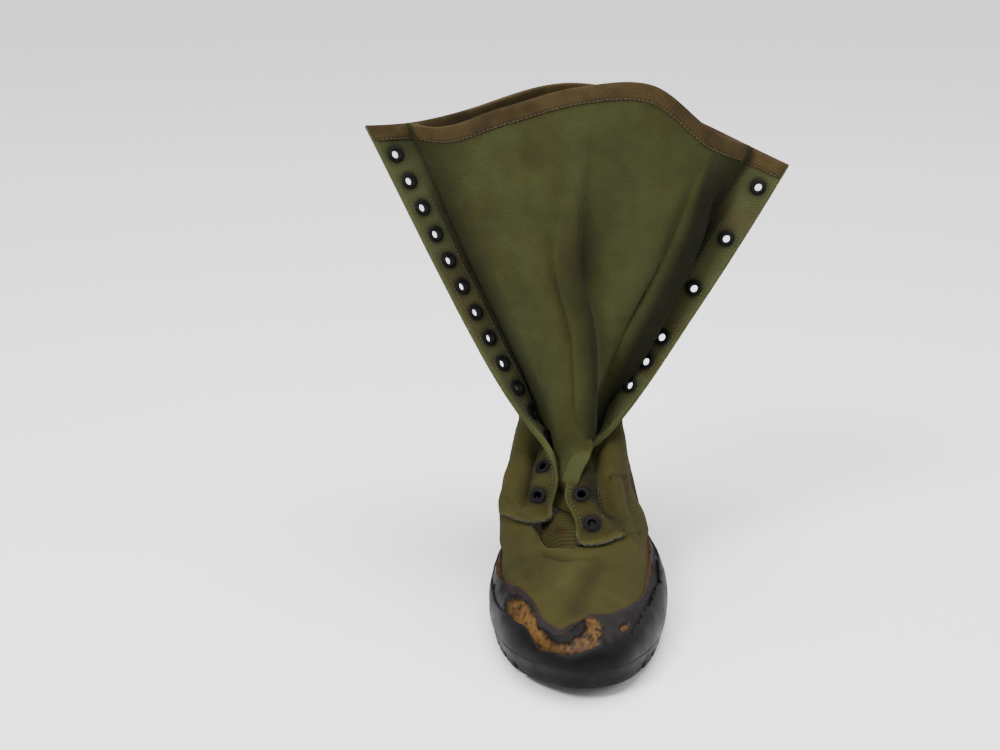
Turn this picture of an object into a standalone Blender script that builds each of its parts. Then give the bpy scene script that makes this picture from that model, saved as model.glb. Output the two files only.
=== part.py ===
"""Canvas and rubber jungle boot, for the left foot.

The boot stands empty on its sole with its shaft spread open: the two quarters
flare outward like an open book, and a full-height tongue is sewn between them.
Toe towards -Y, wearer's outer side towards +X, floor at Z = 0, and the origin
under the middle of the heel. Metres.
"""
import bpy
import bmesh
import numpy as np
from mathutils import Matrix, Vector

# Overall sizes
LENGTH = 0.300
BALL_WIDTH = 0.108
COLLAR_WIDTH = 0.264
SHAFT_HEIGHT = 0.310
INSTEP_RISE = 0.080

# Sole
HEEL_HEIGHT = 0.027
FOREPART_HEIGHT = 0.014
TOE_SPRING = 0.008
TREAD_DEPTH = 0.005
LUG_PITCH = 0.0165
LUG_GROOVE = 0.0042
GROOVE_REACH = 0.016
GROOVE_OVERRUN = 0.006
GROOVE_SLANT = 0.42
LUG_ZONES = ((0.10, 0.48), (0.76, 0.94))
SOLE_RIB = 0.0012
SOLE_CHAMFER = 0.0030
INSOLE_THICKNESS = 0.003

# Walls and trim
CANVAS = 0.0020
QUARTER_STEP = 0.0010
RUBBER = 0.0028
BUMPER = 0.0016
BUMPER_COLUMNS = 9
TONGUE_CLOTH = 0.0014
TAPE_WIDTH = 0.0100
TAPE_THICKNESS = 0.0010
EASE = 0.0003
GAP = 0.0003
WELD = 0.00003
FOXING_EASE = 0.0009
FOXING_INNER = CANVAS / 2 + FOXING_EASE

# Facing
FACING_WIDTH = 0.024
EYELET_INBOARD = 0.0095
EYELET_PITCH = 0.0190
EYELET_TOP = 0.0200
EYELET_RADIUS = 0.0056
EYELET_HOLE = 0.0024
EYELET_PROUD = 0.0009
EYELET_SIDES = 8
HOLE_DEPTH = 0.012
# Steps of the pitch, counted down from the top eyelet; the outer side's are unevenly apart
EYELET_STEPS = {
    "medial": tuple(range(14)),
    "lateral": (0, 2, 4, 6, 7, 8, 12.3, 13.3),
}
SEAM_MARGIN = 0.006

# Places among the rings, 0 at the sole and 1 at the collar
WALL_TOP = 0.10
RAW_EDGE = 0.47
RAW_EDGE_STEP = 0.008
TAPE_CLEAR_FROM = 0.94
RUBBER_TOP_STEP = 0.008

# Shares of the length, of the ball width (medial, then lateral): the sole's outline
OUTLINE = (
    # along, medial, lateral
    (0.028, 0.195, 0.190),
    (0.100, 0.352, 0.332),
    (0.200, 0.443, 0.435),
    (0.330, 0.486, 0.505),
    (0.450, 0.455, 0.510),
    (0.580, 0.365, 0.452),
    (0.720, 0.322, 0.380),
    (0.860, 0.306, 0.325),
    (0.962, 0.200, 0.210),
)
TOE_DRIFT = -0.018
HEEL_DRIFT = 0.008

# Shares of the length, and of the way from forepart height to heel height
SOLE_TOP = (
    # along, rise
    (0.00, 0.00),
    (0.42, 0.00),
    (0.56, 0.25),
    (0.72, 0.85),
    (0.80, 1.00),
    (1.00, 1.00),
)
TOE_SPRING_END = 0.30

# Shares of the length, and of the arch height: the waist's hollow, up to the heel's front face
ARCH = (
    # along, lift
    (0.500, 0.00),
    (0.540, 0.38),
    (0.580, 0.74),
    (0.640, 0.97),
    (0.696, 1.00),
    (0.702, 0.00),
)
ARCH_HEIGHT = 0.009

# Wall rings over the outline, round from toe to heel: inset in shares of the ball width, medial and
# lateral rise in shares of the instep rise
FEATHER_INSET = 0.0050
WALL_RING = (
    # round, inset, medial rise, lateral rise
    (0.00, 0.042, 0.094, 0.094),
    (0.15, 0.042, 0.106, 0.100),
    (0.35, 0.037, 0.150, 0.112),
    (0.60, 0.042, 0.175, 0.162),
    (1.00, 0.046, 0.188, 0.188),
)
SHOULDER_RING = (
    # round, inset, medial rise, lateral rise
    (0.00, 0.130, 0.150, 0.150),
    (0.15, 0.111, 0.188, 0.169),
    (0.35, 0.074, 0.287, 0.188),
    (0.60, 0.074, 0.312, 0.263),
    (1.00, 0.051, 0.312, 0.312),
)

# Rings over the foot, from the shoulder up to the ankle. Across in shares of the ball width,
# along in shares of the length, rise above the sole in shares of the instep rise.
# Each ring runs from the front edge, seam and side round to the back.
FOOT_RINGS = {
    "vamp": {
        "medial": ((-0.028, 0.167, 0.28), (-0.160, 0.180, 0.29), (-0.380, 0.300, 0.36),
                   (-0.410, 0.520, 0.40), (-0.330, 0.830, 0.42), (0.008, 0.985, 0.44)),
        "lateral": ((-0.028, 0.167, 0.28), (0.120, 0.173, 0.27), (0.350, 0.290, 0.27),
                    (0.425, 0.520, 0.34), (0.345, 0.830, 0.42), (0.008, 0.985, 0.44)),
    },
    "instep": {
        "medial": ((-0.037, 0.293, 0.36), (-0.205, 0.307, 0.42), (-0.430, 0.427, 0.48),
                   (-0.400, 0.600, 0.50), (-0.325, 0.830, 0.55), (0.008, 0.985, 0.58)),
        "lateral": ((-0.037, 0.293, 0.36), (0.150, 0.300, 0.37), (0.365, 0.407, 0.39),
                    (0.405, 0.600, 0.46), (0.335, 0.830, 0.55), (0.008, 0.985, 0.58)),
    },
    "throat": {
        "medial": ((-0.037, 0.373, 0.39), (-0.240, 0.387, 0.50), (-0.440, 0.467, 0.57),
                   (-0.390, 0.650, 0.62), (-0.310, 0.850, 0.72), (0.008, 0.975, 0.76)),
        "lateral": ((-0.037, 0.373, 0.39), (0.165, 0.370, 0.42), (0.345, 0.467, 0.50),
                    (0.380, 0.650, 0.58), (0.315, 0.850, 0.72), (0.008, 0.975, 0.76)),
    },
    "tab": {
        "medial": ((-0.185, 0.447, 0.532), (-0.343, 0.440, 0.596), (-0.426, 0.527, 0.647),
                   (-0.365, 0.680, 0.758), (-0.269, 0.850, 0.931), (0.008, 0.955, 0.998)),
        "lateral": ((0.028, 0.390, 0.456), (0.176, 0.377, 0.495), (0.343, 0.493, 0.595),
                    (0.343, 0.680, 0.733), (0.265, 0.850, 0.931), (0.008, 0.955, 0.998)),
    },
    "fold": {
        "medial": ((-0.074, 0.477, 0.750), (-0.231, 0.463, 0.815), (-0.333, 0.560, 0.909),
                   (-0.324, 0.700, 1.034), (-0.222, 0.853, 1.206), (0.008, 0.935, 1.334)),
        "lateral": ((-0.019, 0.457, 0.717), (0.139, 0.433, 0.785), (0.306, 0.547, 0.890),
                    (0.310, 0.700, 1.009), (0.222, 0.853, 1.206), (0.008, 0.935, 1.334)),
    },
    "twist": {
        "medial": ((-0.120, 0.523, 0.986), (-0.157, 0.570, 0.880), (-0.278, 0.627, 1.057),
                   (-0.350, 0.717, 1.326), (-0.235, 0.857, 1.531), (0.008, 0.925, 1.684)),
        "lateral": ((0.093, 0.533, 0.970), (0.130, 0.577, 0.864), (0.259, 0.633, 1.040),
                    (0.345, 0.717, 1.313), (0.230, 0.857, 1.531), (0.008, 0.925, 1.684)),
    },
}

# Rings of the spread shaft. Across in shares of the collar's width, along in shares of the
# length, rise above the heel in shares of the shaft's own rise.
SHAFT_RINGS = {
    "ankle": {
        "medial": ((-0.144, 0.527, 0.322), (-0.095, 0.570, 0.360), (-0.136, 0.660, 0.406),
                   (-0.172, 0.750, 0.445), (-0.105, 0.873, 0.516), (0.003, 0.920, 0.572)),
        "lateral": ((0.136, 0.557, 0.311), (0.083, 0.600, 0.350), (0.129, 0.673, 0.399),
                    (0.172, 0.750, 0.442), (0.105, 0.873, 0.516), (0.003, 0.920, 0.572)),
    },
    "calf": {
        "medial": ((-0.280, 0.577, 0.545), (-0.205, 0.627, 0.565), (-0.245, 0.703, 0.610),
                   (-0.225, 0.800, 0.665), (-0.122, 0.887, 0.715), (0.003, 0.923, 0.750)),
        "lateral": ((0.270, 0.602, 0.500), (0.188, 0.643, 0.535), (0.240, 0.707, 0.590),
                    (0.225, 0.800, 0.655), (0.122, 0.887, 0.715), (0.003, 0.923, 0.750)),
    },
    "flare": {
        "medial": ((-0.395, 0.620, 0.760), (-0.315, 0.660, 0.765), (-0.290, 0.727, 0.790),
                   (-0.225, 0.807, 0.820), (-0.120, 0.887, 0.860), (0.000, 0.917, 0.885)),
        "lateral": ((0.412, 0.650, 0.690), (0.320, 0.683, 0.720), (0.292, 0.737, 0.760),
                    (0.228, 0.810, 0.805), (0.120, 0.887, 0.860), (0.000, 0.917, 0.885)),
    },
    "collar": {
        "medial": ((-0.492, 0.657, 0.935), (-0.410, 0.683, 0.932), (-0.325, 0.733, 0.940),
                   (-0.220, 0.810, 0.955), (-0.115, 0.883, 0.982), (-0.004, 0.907, 1.000)),
        "lateral": ((0.508, 0.677, 0.845), (0.425, 0.717, 0.877), (0.335, 0.760, 0.915),
                    (0.228, 0.820, 0.953), (0.115, 0.883, 0.985), (-0.004, 0.907, 1.000)),
    },
}

# Top of the rubber wall, round from toe to heel, in shares of the instep rise
RUBBER_LINE = (
    # round, medial height, lateral height
    (0.00, 0.294, 0.294),
    (0.08, 0.312, 0.325),
    (0.20, 0.312, 0.287),
    (0.33, 0.312, 0.231),
    (0.45, 0.413, 0.287),
    (0.55, 0.575, 0.400),
    (0.66, 0.775, 0.600),
    (0.78, 0.800, 0.675),
    (0.90, 0.625, 0.600),
    (1.00, 0.562, 0.562),
)

# Tongue: place among the upper's rings, then five points across it. Low down they are in shares
# of the foot's sizes, as the rings over the foot are, and above in shares of the shaft's.
TONGUE_FOOT_ROWS = (
    # place, then (across, along, rise) for medial side, medial front, ridge, dent, fold
    (0.500, (-0.240, 0.467, 0.552), (-0.149, 0.453, 0.491), (-0.066, 0.437, 0.459),
     (0.027, 0.427, 0.448), (0.110, 0.427, 0.486)),
    (0.600, (-0.186, 0.500, 0.745), (-0.110, 0.493, 0.694), (-0.037, 0.483, 0.671),
     (0.037, 0.477, 0.662), (0.110, 0.477, 0.687)),
    (0.680, (-0.147, 0.567, 0.897), (-0.093, 0.533, 0.883), (-0.010, 0.520, 0.887),
     (0.066, 0.530, 0.870), (0.120, 0.560, 0.872)),
)
TONGUE_SHAFT_ROWS = (
    # place, then (across, along, rise) for medial side, medial front, ridge, dent, fold
    (0.760, (-0.072, 0.575, 0.322), (-0.042, 0.520, 0.314), (0.008, 0.497, 0.314),
     (0.038, 0.533, 0.318), (0.064, 0.587, 0.318)),
    (0.840, (-0.136, 0.573, 0.470), (-0.076, 0.533, 0.480), (0.000, 0.513, 0.491),
     (0.038, 0.540, 0.488), (0.121, 0.560, 0.474)),
    (0.920, (-0.227, 0.613, 0.654), (-0.136, 0.560, 0.675), (-0.045, 0.540, 0.682),
     (0.030, 0.580, 0.678), (0.220, 0.593, 0.657)),
    (1.000, (-0.333, 0.653, 0.932), (-0.170, 0.623, 0.979), (0.000, 0.617, 1.023),
     (0.170, 0.623, 1.028), (0.326, 0.643, 0.922)),
)

# Mesh density
ROUND_STEPS = 16
CROWDING = 0.35
FACING_STEPS = 4
WALL_STEPS = 3
UPPER_STEPS = 20
TONGUE_STEPS = 14
CAP_STRIPS = 4
DENSE = 240
CURVE_STEPS = 30
PLACE_STEP = 1e-3
ROUND_REACH = 4.0 / DENSE

SIDES = {"medial": -1.0, "lateral": 1.0}
OTHER = {"medial": "lateral", "lateral": "medial"}
HEEL_CENTRE = 0.873 * LENGTH
SHAFT_RISE = SHAFT_HEIGHT - HEEL_HEIGHT
RING_COUNT = 3 + len(FOOT_RINGS) + len(SHAFT_RINGS)
THROAT_RING = 5
THROAT = (THROAT_RING - 1.0) / (RING_COUNT - 3)
THROAT_OPENING = 0.04


def hermite(xs, ys, x):
    """Smooth curve through the table's points, flat beyond its ends."""
    xs = np.asarray(xs, float)
    ys = np.asarray(ys, float)
    slope = np.gradient(ys, xs)
    x = np.clip(x, xs[0], xs[-1])
    k = np.clip(np.searchsorted(xs, x, side="right") - 1, 0, len(xs) - 2)
    width = xs[k + 1] - xs[k]
    t = (x - xs[k]) / width
    return (
        ys[k] * (1 + 2 * t) * (1 - t) ** 2
        + slope[k] * width * t * (1 - t) ** 2
        + ys[k + 1] * t * t * (3 - 2 * t)
        + slope[k + 1] * width * t * t * (t - 1)
    )


def column(table, index):
    """One named column of a table."""
    return [row[index] for row in table]


def spline_weights(count, t):
    """Weights of a clamped uniform cubic spline with count control points, at each t in 0..1."""
    t = np.clip(np.atleast_1d(np.asarray(t, float)), 0.0, 1.0 - 1e-9)
    spans = count - 3
    knots = np.concatenate((np.zeros(3), np.linspace(0, 1, spans + 1), np.ones(3)))
    basis = ((t[:, None] >= knots[:-1]) & (t[:, None] < knots[1:])).astype(float)
    for degree in (1, 2, 3):
        lower = knots[degree:-1] - knots[:-degree - 1]
        upper = knots[degree + 1:] - knots[1:-degree]
        rising = np.divide(t[:, None] - knots[:-degree - 1], lower, where=lower > 0,
                           out=np.zeros((len(t), len(lower))))
        falling = np.divide(knots[degree + 1:] - t[:, None], upper, where=upper > 0,
                            out=np.zeros((len(t), len(upper))))
        basis = rising * basis[:, :-1] + falling * basis[:, 1:]
    return basis


def outline_curve(side):
    """Dense plan curve of one side of the sole from toe tip to heel back, and its outward normals."""
    other = OTHER[side]
    index = {"medial": 1, "lateral": 2}
    sign = SIDES[side]
    points = [(SIDES[other] * OUTLINE[0][index[other]], OUTLINE[0][0]), (TOE_DRIFT, 0.0)]
    points += [(sign * row[index[side]], row[0]) for row in OUTLINE]
    points += [(HEEL_DRIFT, 1.0), (SIDES[other] * OUTLINE[-1][index[other]], OUTLINE[-1][0])]
    p = np.array(points) * (BALL_WIDTH, LENGTH)
    curve = []
    for a, b, c, d in zip(p[:-3], p[1:-2], p[2:-1], p[3:]):
        for t in np.linspace(0, 1, CURVE_STEPS, endpoint=False):
            curve.append(0.5 * (2 * b + (c - a) * t + (2 * a - 5 * b + 4 * c - d) * t ** 2
                                + (3 * b - a - 3 * c + d) * t ** 3))
    curve.append(p[-2])
    curve = np.array(curve)
    tangent = np.gradient(curve, axis=0)
    tangent /= np.linalg.norm(tangent, axis=1)[:, None]
    normal = np.stack((tangent[:, 1], -tangent[:, 0]), axis=1) * sign
    steps = np.linalg.norm(np.diff(curve, axis=0), axis=1)
    along = np.concatenate(([0.0], np.cumsum(steps)))
    return along / along[-1], curve, normal


OUTLINES = {side: outline_curve(side) for side in SIDES}


def outline_point(side, share, inset):
    """Plan points at shares round one side of the sole, moved inward by inset."""
    along, curve, normal = OUTLINES[side]
    x = np.interp(share, along, curve[:, 0]) - inset * np.interp(share, along, normal[:, 0])
    y = np.interp(share, along, curve[:, 1]) - inset * np.interp(share, along, normal[:, 1])
    return x, y


def toe_lift(y):
    """Upward curve of the sole's front, above the plane it stands on."""
    end = TOE_SPRING_END * LENGTH
    return TOE_SPRING * np.clip(1 - y / end, 0, 1) ** 1.8


def sole_top(y):
    """Height of the sole's upper face along the boot."""
    rise = hermite(column(SOLE_TOP, 0), column(SOLE_TOP, 1), y / LENGTH)
    return FOREPART_HEIGHT + (HEEL_HEIGHT - FOREPART_HEIGHT) * rise + toe_lift(y)


def outline_ring(side, share, table):
    """A ring of the upper that follows the sole's outline, with its own inset and rise."""
    rounds = column(table, 0)
    inset = BALL_WIDTH * hermite(rounds, column(table, 1), share)
    rise = INSTEP_RISE * hermite(rounds, column(table, 2 if side == "medial" else 3), share)
    x, y = outline_point(side, share, inset)
    return np.stack((x, y, sole_top(y) + rise), axis=1)


def foot_points(shares):
    """Points given in shares of the foot's sizes, their rise counted from the sole's upper face."""
    points = np.array(shares) * (BALL_WIDTH, LENGTH, INSTEP_RISE)
    points[:, 2] += sole_top(points[:, 1])
    return points


def shaft_points(shares):
    """Points given in shares of the shaft's sizes, their rise counted from the heel."""
    return np.array(shares) * (COLLAR_WIDTH, LENGTH, SHAFT_RISE) + (0.0, 0.0, HEEL_HEIGHT)


def spline_ring(points, side, share):
    """One side of a ring whose points run as a single curve from edge to edge round the back."""
    along = share / 2 if side == "medial" else 1 - share / 2
    return spline_weights(len(points), along) @ points


def all_rings(side):
    """Every ring of one side of the upper, each sampled from its front edge to the back."""
    share = np.linspace(0, 1, DENSE + 1)
    edge = FEATHER_INSET / BALL_WIDTH
    feather = ((0.0, edge, 0.0, 0.0), (1.0, edge, 0.0, 0.0))
    rings = [outline_ring(side, share, table) for table in (feather, WALL_RING, SHOULDER_RING)]
    for table, points in ((FOOT_RINGS, foot_points), (SHAFT_RINGS, shaft_points)):
        for ring in table.values():
            around = ring["medial"] + ring["lateral"][-2::-1]
            rings.append(spline_ring(points(around), side, share))
    return np.array(rings)


RINGS = {side: all_rings(side) for side in SIDES}


def upper_ring(side, height):
    """The upper's middle surface at one place among the rings, 0 at the sole and 1 at the collar.

    Below the throat the two front edges are drawn together into one crest.
    """
    weights = spline_weights(RING_COUNT, height)[0]
    ring = np.einsum("k,kni->ni", weights, RINGS[side])
    closed = np.clip((THROAT + THROAT_OPENING - height) / THROAT_OPENING, 0, 1)
    shift = closed * (weights @ RINGS[OTHER[side]][:, 0] - ring[0]) / 2
    fade = np.clip(1 - ring_lengths(ring) / FACING_WIDTH, 0, 1) ** 2
    return ring + shift * fade[:, None]


def ring_lengths(ring):
    """Distance along a sampled ring from its front edge."""
    return np.concatenate(([0.0], np.cumsum(np.linalg.norm(np.diff(ring, axis=0), axis=1))))


def along_ring(ring, share):
    """Point of a sampled ring at a share of the way round it."""
    rounds = np.linspace(0, 1, DENSE + 1)
    return np.array([np.interp(share, rounds, ring[:, i]) for i in range(3)])


def upper_point(side, height, inboard=None, share=None):
    """Point and outward normal of the upper, at a distance from its front edge or a share round."""
    places = (height, min(height + PLACE_STEP, 1.0), max(height - PLACE_STEP, 0.0))
    here, above, below = (upper_ring(side, place) for place in places)
    if share is None:
        share = np.interp(inboard, ring_lengths(here), np.linspace(0, 1, DENSE + 1))
    point = along_ring(here, share)
    around = (along_ring(here, min(share + ROUND_REACH, 1.0))
              - along_ring(here, max(share - ROUND_REACH, 0.0)))
    upward = along_ring(above, share) - along_ring(below, share)
    normal = np.cross(around, upward) * SIDES[side]
    return point, normal / np.linalg.norm(normal)


def column_shares(side, height):
    """Column places round a ring: even steps over the facing, then on to the back, where they
    draw closer at both ends of the way."""
    length = ring_lengths(upper_ring(side, height))
    facing = np.linspace(0, FACING_WIDTH, FACING_STEPS + 1)
    even = np.linspace(0, 1, ROUND_STEPS + 1)[1:]
    crowded = even - CROWDING * np.sin(2 * np.pi * even) / (2 * np.pi)
    rest = FACING_WIDTH + crowded * (length[-1] - FACING_WIDTH)
    return np.interp(np.concatenate((facing, rest)), length, np.linspace(0, 1, DENSE + 1))


def row_places():
    """Places of the mesh rows: close steps up the wall at the sole, then even steps up the
    front edge and the back together, with one row on the quarters' raw edge."""
    heights = np.linspace(WALL_TOP, 1, DENSE + 1)
    rings = [upper_ring("medial", height) for height in heights]
    front = ring_lengths(np.array([ring[0] for ring in rings]))
    back = ring_lengths(np.array([ring[-1] for ring in rings]))
    length = front / front[-1] + back / back[-1]
    places = np.interp(np.linspace(0, length[-1], UPPER_STEPS + 1), length, heights)
    places[np.argmin(np.abs(places - THROAT))] = THROAT
    raw = np.argmin(np.abs(places - RAW_EDGE))
    places[raw] = RAW_EDGE
    places = np.insert(places, raw, RAW_EDGE - RAW_EDGE_STEP)
    return np.concatenate((np.linspace(0, WALL_TOP, WALL_STEPS + 1)[:-1], places))


def wall_grid():
    """Middle surface and outward normals of the upper's mesh, by row, round from the medial
    front edge to the lateral one."""
    points = []
    normals = []
    for place in PLACES:
        row = []
        for side in SIDES:
            half = [upper_point(side, place, share=share) for share in column_shares(side, place)]
            row += half if side == "medial" else half[-2::-1]
        if place <= THROAT:
            crest = tuple((a + b) / 2 for a, b in zip(row[0], row[-1]))
            row[0] = crest
            row[-1] = crest
        points.append([point for point, normal in row])
        normals.append([normal / np.linalg.norm(normal) for point, normal in row])
    return np.array(points), np.array(normals)


PLACES = row_places()
FOXING_ROWS = int(np.sum(PLACES < RAW_EDGE)) + 1
POINTS, NORMALS = wall_grid()
COLUMNS = POINTS.shape[1]
BACK = COLUMNS // 2


def wall_at(column, place):
    """Point and outward normal on one column of the upper's mesh, straight between its rows."""
    point = np.array([np.interp(place, PLACES, POINTS[:, column, i]) for i in range(3)])
    normal = np.array([np.interp(place, PLACES, NORMALS[:, column, i]) for i in range(3)])
    return point, normal / np.linalg.norm(normal)


def place_at_rise(column, rise):
    """Place that lies a given distance up one column of the wall from the sole's edge."""
    return float(np.interp(rise, ring_lengths(POINTS[:, column]), PLACES))


def sole_loop(inset, blend):
    """Closed loop of points round the sole's outline, on the same columns as the wall, at a
    blend from the sole's under face, 0, to its upper face, 1."""
    loop = []
    for side in SIDES:
        x, y = outline_point(side, column_shares(side, 0.0), inset)
        z = toe_lift(y) * (1 - blend) + (sole_top(y) - GAP) * blend
        points = list(zip(x, y, z))
        loop += points if side == "medial" else points[-2:0:-1]
    return loop


def world(point):
    """Design point, measured from the toe tip, as a place in the boot's own frame."""
    return Vector((float(point[0]), float(point[1]) - HEEL_CENTRE, float(point[2])))


def make_collection(name):
    collection = bpy.data.collections.new(name)
    bpy.context.scene.collection.children.link(collection)
    return collection


def material(name, colour, roughness, metallic=0.0):
    mat = bpy.data.materials.new(name)
    mat.use_nodes = True
    shader = mat.node_tree.nodes["Principled BSDF"]
    shader.inputs["Base Color"].default_value = (*colour, 1.0)
    shader.inputs["Roughness"].default_value = roughness
    shader.inputs["Metallic"].default_value = metallic
    return mat


def add_object(name, bm, collection, mat=None, closed=True):
    """New object from a bmesh, shaded smooth; a closed body gets its faces pointing outward."""
    if closed:
        bmesh.ops.recalc_face_normals(bm, faces=bm.faces)
    mesh = bpy.data.meshes.new(name)
    bm.to_mesh(mesh)
    bm.free()
    mesh.shade_smooth()
    obj = bpy.data.objects.new(name, mesh)
    collection.objects.link(obj)
    if mat:
        mesh.materials.append(mat)
    return obj


def grid_surface(bm, rows):
    """Faces over rows of points; returns the vertices, row by row."""
    verts = [[bm.verts.new(world(p)) for p in row] for row in rows]
    for lower, upper in zip(verts[:-1], verts[1:]):
        for i in range(len(lower) - 1):
            bm.faces.new((lower[i], upper[i], upper[i + 1], lower[i + 1]))
    return verts


def solidify(obj, thickness, offset):
    shell = obj.modifiers.new("Wall", "SOLIDIFY")
    shell.thickness = thickness
    shell.offset = offset
    shell.use_even_offset = True
    return shell


def cut(obj, cutter):
    """Cut one object by another that stays in the file as a guide."""
    boolean = obj.modifiers.new("Cut " + cutter.name, "BOOLEAN")
    boolean.operation = "DIFFERENCE"
    boolean.object = cutter
    boolean.solver = "EXACT"
    cutter.hide_render = True
    cutter.display_type = "WIRE"


def make_upper(parts, guides, mat):
    """Vamp, quarters and shaft in one canvas wall, thicker where the quarters lie over the vamp."""
    bm = bmesh.new()
    thick = bm.verts.layers.deform.verify()
    verts = grid_surface(bm, POINTS - NORMALS * CANVAS / 2)
    for row, place in zip(verts, PLACES):
        for vert in row:
            vert[thick][0] = 1.0 if place >= RAW_EDGE else 0.0
    bmesh.ops.triangulate(bm, faces=bm.faces, quad_method="FIXED")
    bmesh.ops.remove_doubles(bm, verts=bm.verts, dist=WELD)
    obj = add_object("upper", bm, parts, mat, closed=False)
    obj.vertex_groups.new(name="quarters")
    shell = solidify(obj, CANVAS + QUARTER_STEP, 1.0)
    shell.vertex_group = "quarters"
    shell.thickness_vertex_group = CANVAS / (CANVAS + QUARTER_STEP)
    cut(obj, make_lace_holes(guides))
    return obj


def eyelet_places(side):
    """Place among the rings of each eyelet on one side, from the collar down."""
    heights = np.linspace(THROAT, 1, DENSE + 1)
    edge = ring_lengths(np.array([upper_ring(side, height)[0] for height in heights]))
    return [
        float(np.interp(edge[-1] - EYELET_TOP - EYELET_PITCH * step, edge, heights))
        for step in EYELET_STEPS[side]
    ]


def eyelet_seats():
    """Name, centre and outward direction of every eyelet, half way through the wall."""
    seats = []
    for side in SIDES:
        for number, height in enumerate(eyelet_places(side), start=1):
            point, normal = upper_point(side, height, inboard=EYELET_INBOARD)
            centre = world(point + normal * QUARTER_STEP / 2)
            seats.append((f"eyelet_{side}_{number:02d}", centre, Vector(normal.tolist())))
    return seats


def turn_to(obj, centre, direction):
    obj.location = centre
    obj.rotation_mode = "QUATERNION"
    obj.rotation_quaternion = direction.to_track_quat("Z", "Y")


def make_lace_holes(guides):
    """One cutter for every eyelet hole in the facings."""
    bm = bmesh.new()
    for name, centre, direction in eyelet_seats():
        hole = bmesh.ops.create_cone(
            bm, cap_ends=True, segments=EYELET_SIDES, radius1=EYELET_RADIUS + GAP,
            radius2=EYELET_RADIUS + GAP, depth=HOLE_DEPTH)
        matrix = direction.to_track_quat("Z", "Y").to_matrix().to_4x4()
        matrix.translation = centre
        bmesh.ops.transform(bm, matrix=matrix, verts=hole["verts"])
    return add_object("lace_hole_cutter", bm, guides)


def make_eyelets(parts, mat):
    """Pressed rings, each its own piece, seated in the holes of the facings."""
    bm = bmesh.new()
    depth = CANVAS + QUARTER_STEP + 2 * EYELET_PROUD
    profile = (
        (EYELET_HOLE, -depth / 2),
        (EYELET_RADIUS, -depth / 2),
        (EYELET_RADIUS, depth / 2),
        (EYELET_HOLE, depth / 2),
    )
    rings = []
    for radius, z in profile:
        angles = [2 * np.pi * k / EYELET_SIDES for k in range(EYELET_SIDES)]
        rings.append([bm.verts.new((radius * np.cos(a), radius * np.sin(a), z)) for a in angles])
    for k in range(len(rings)):
        ring, after = rings[k], rings[(k + 1) % len(rings)]
        for i in range(EYELET_SIDES):
            j = (i + 1) % EYELET_SIDES
            bm.faces.new((ring[i], ring[j], after[j], after[i]))
    seats = eyelet_seats()
    first = add_object(seats[0][0], bm, parts, mat)
    for name, centre, direction in seats:
        obj = first
        if name != first.name:
            obj = bpy.data.objects.new(name, first.data)
            parts.objects.link(obj)
        turn_to(obj, centre, direction)


def make_tread_cutter(guides):
    """One cutter for the gaps between the edge lugs, slanted like a chevron, and for the waist."""
    bm = bmesh.new()
    floor = -TREAD_DEPTH
    for side, sign in SIDES.items():
        curve = OUTLINES[side][1]
        for start, end in LUG_ZONES:
            for y in np.arange(start * LENGTH, end * LENGTH, LUG_PITCH):
                x = np.interp(y, curve[:, 1], curve[:, 0])
                top = toe_lift(y) + TREAD_DEPTH
                length = GROOVE_REACH + GROOVE_OVERRUN
                middle = world((x - sign * (length / 2 - GROOVE_OVERRUN), y, (top + floor) / 2))
                turn = Matrix.Rotation(sign * GROOVE_SLANT, 4, "Z")
                size = Matrix.Diagonal((length, LUG_GROOVE, top - floor, 1.0))
                bmesh.ops.create_cube(bm, matrix=Matrix.Translation(middle) @ turn @ size)
    profile = [(ARCH[0][0] * LENGTH, floor)]
    profile += [(along * LENGTH, ARCH_HEIGHT * lift) for along, lift in ARCH]
    profile += [(ARCH[-1][0] * LENGTH, floor)]
    loops = [[bm.verts.new(world((x, y, z))) for y, z in profile] for x in (-BALL_WIDTH, BALL_WIDTH)]
    for i in range(len(profile)):
        j = (i + 1) % len(profile)
        bm.faces.new((loops[0][i], loops[0][j], loops[1][j], loops[1][i]))
    for loop in loops:
        bm.faces.new(loop)
    return add_object("tread_cutter", bm, guides)


def make_outsole(parts, guides, mat):
    """Moulded sole: outline, toe spring, waist, heel, side rib and the lugs along its edge."""
    levels = (
        # inset, blend from the under face to the upper face
        (SOLE_CHAMFER, 0.0),
        (SOLE_RIB, 0.12),
        (SOLE_RIB, 0.50),
        (0.0, 0.62),
        (0.0, 0.88),
        (SOLE_RIB, 1.0),
    )
    bm = bmesh.new()
    loops = []
    for inset, blend in levels:
        loops.append([bm.verts.new(world(p)) for p in sole_loop(inset, blend)])
    join_loops(bm, loops)
    cap_between(bm, loops[0], toe_lift)
    cap_between(bm, loops[-1], lambda y: sole_top(y) - GAP)
    obj = add_object("outsole", bm, parts, mat)
    cut(obj, make_tread_cutter(guides))
    return obj


def join_loops(bm, loops):
    """Faces between closed loops of the same length, one above the other."""
    count = len(loops[0])
    for low, high in zip(loops[:-1], loops[1:]):
        for i in range(count):
            j = (i + 1) % count
            bm.faces.new((low[i], low[j], high[j], high[i]))


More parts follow.
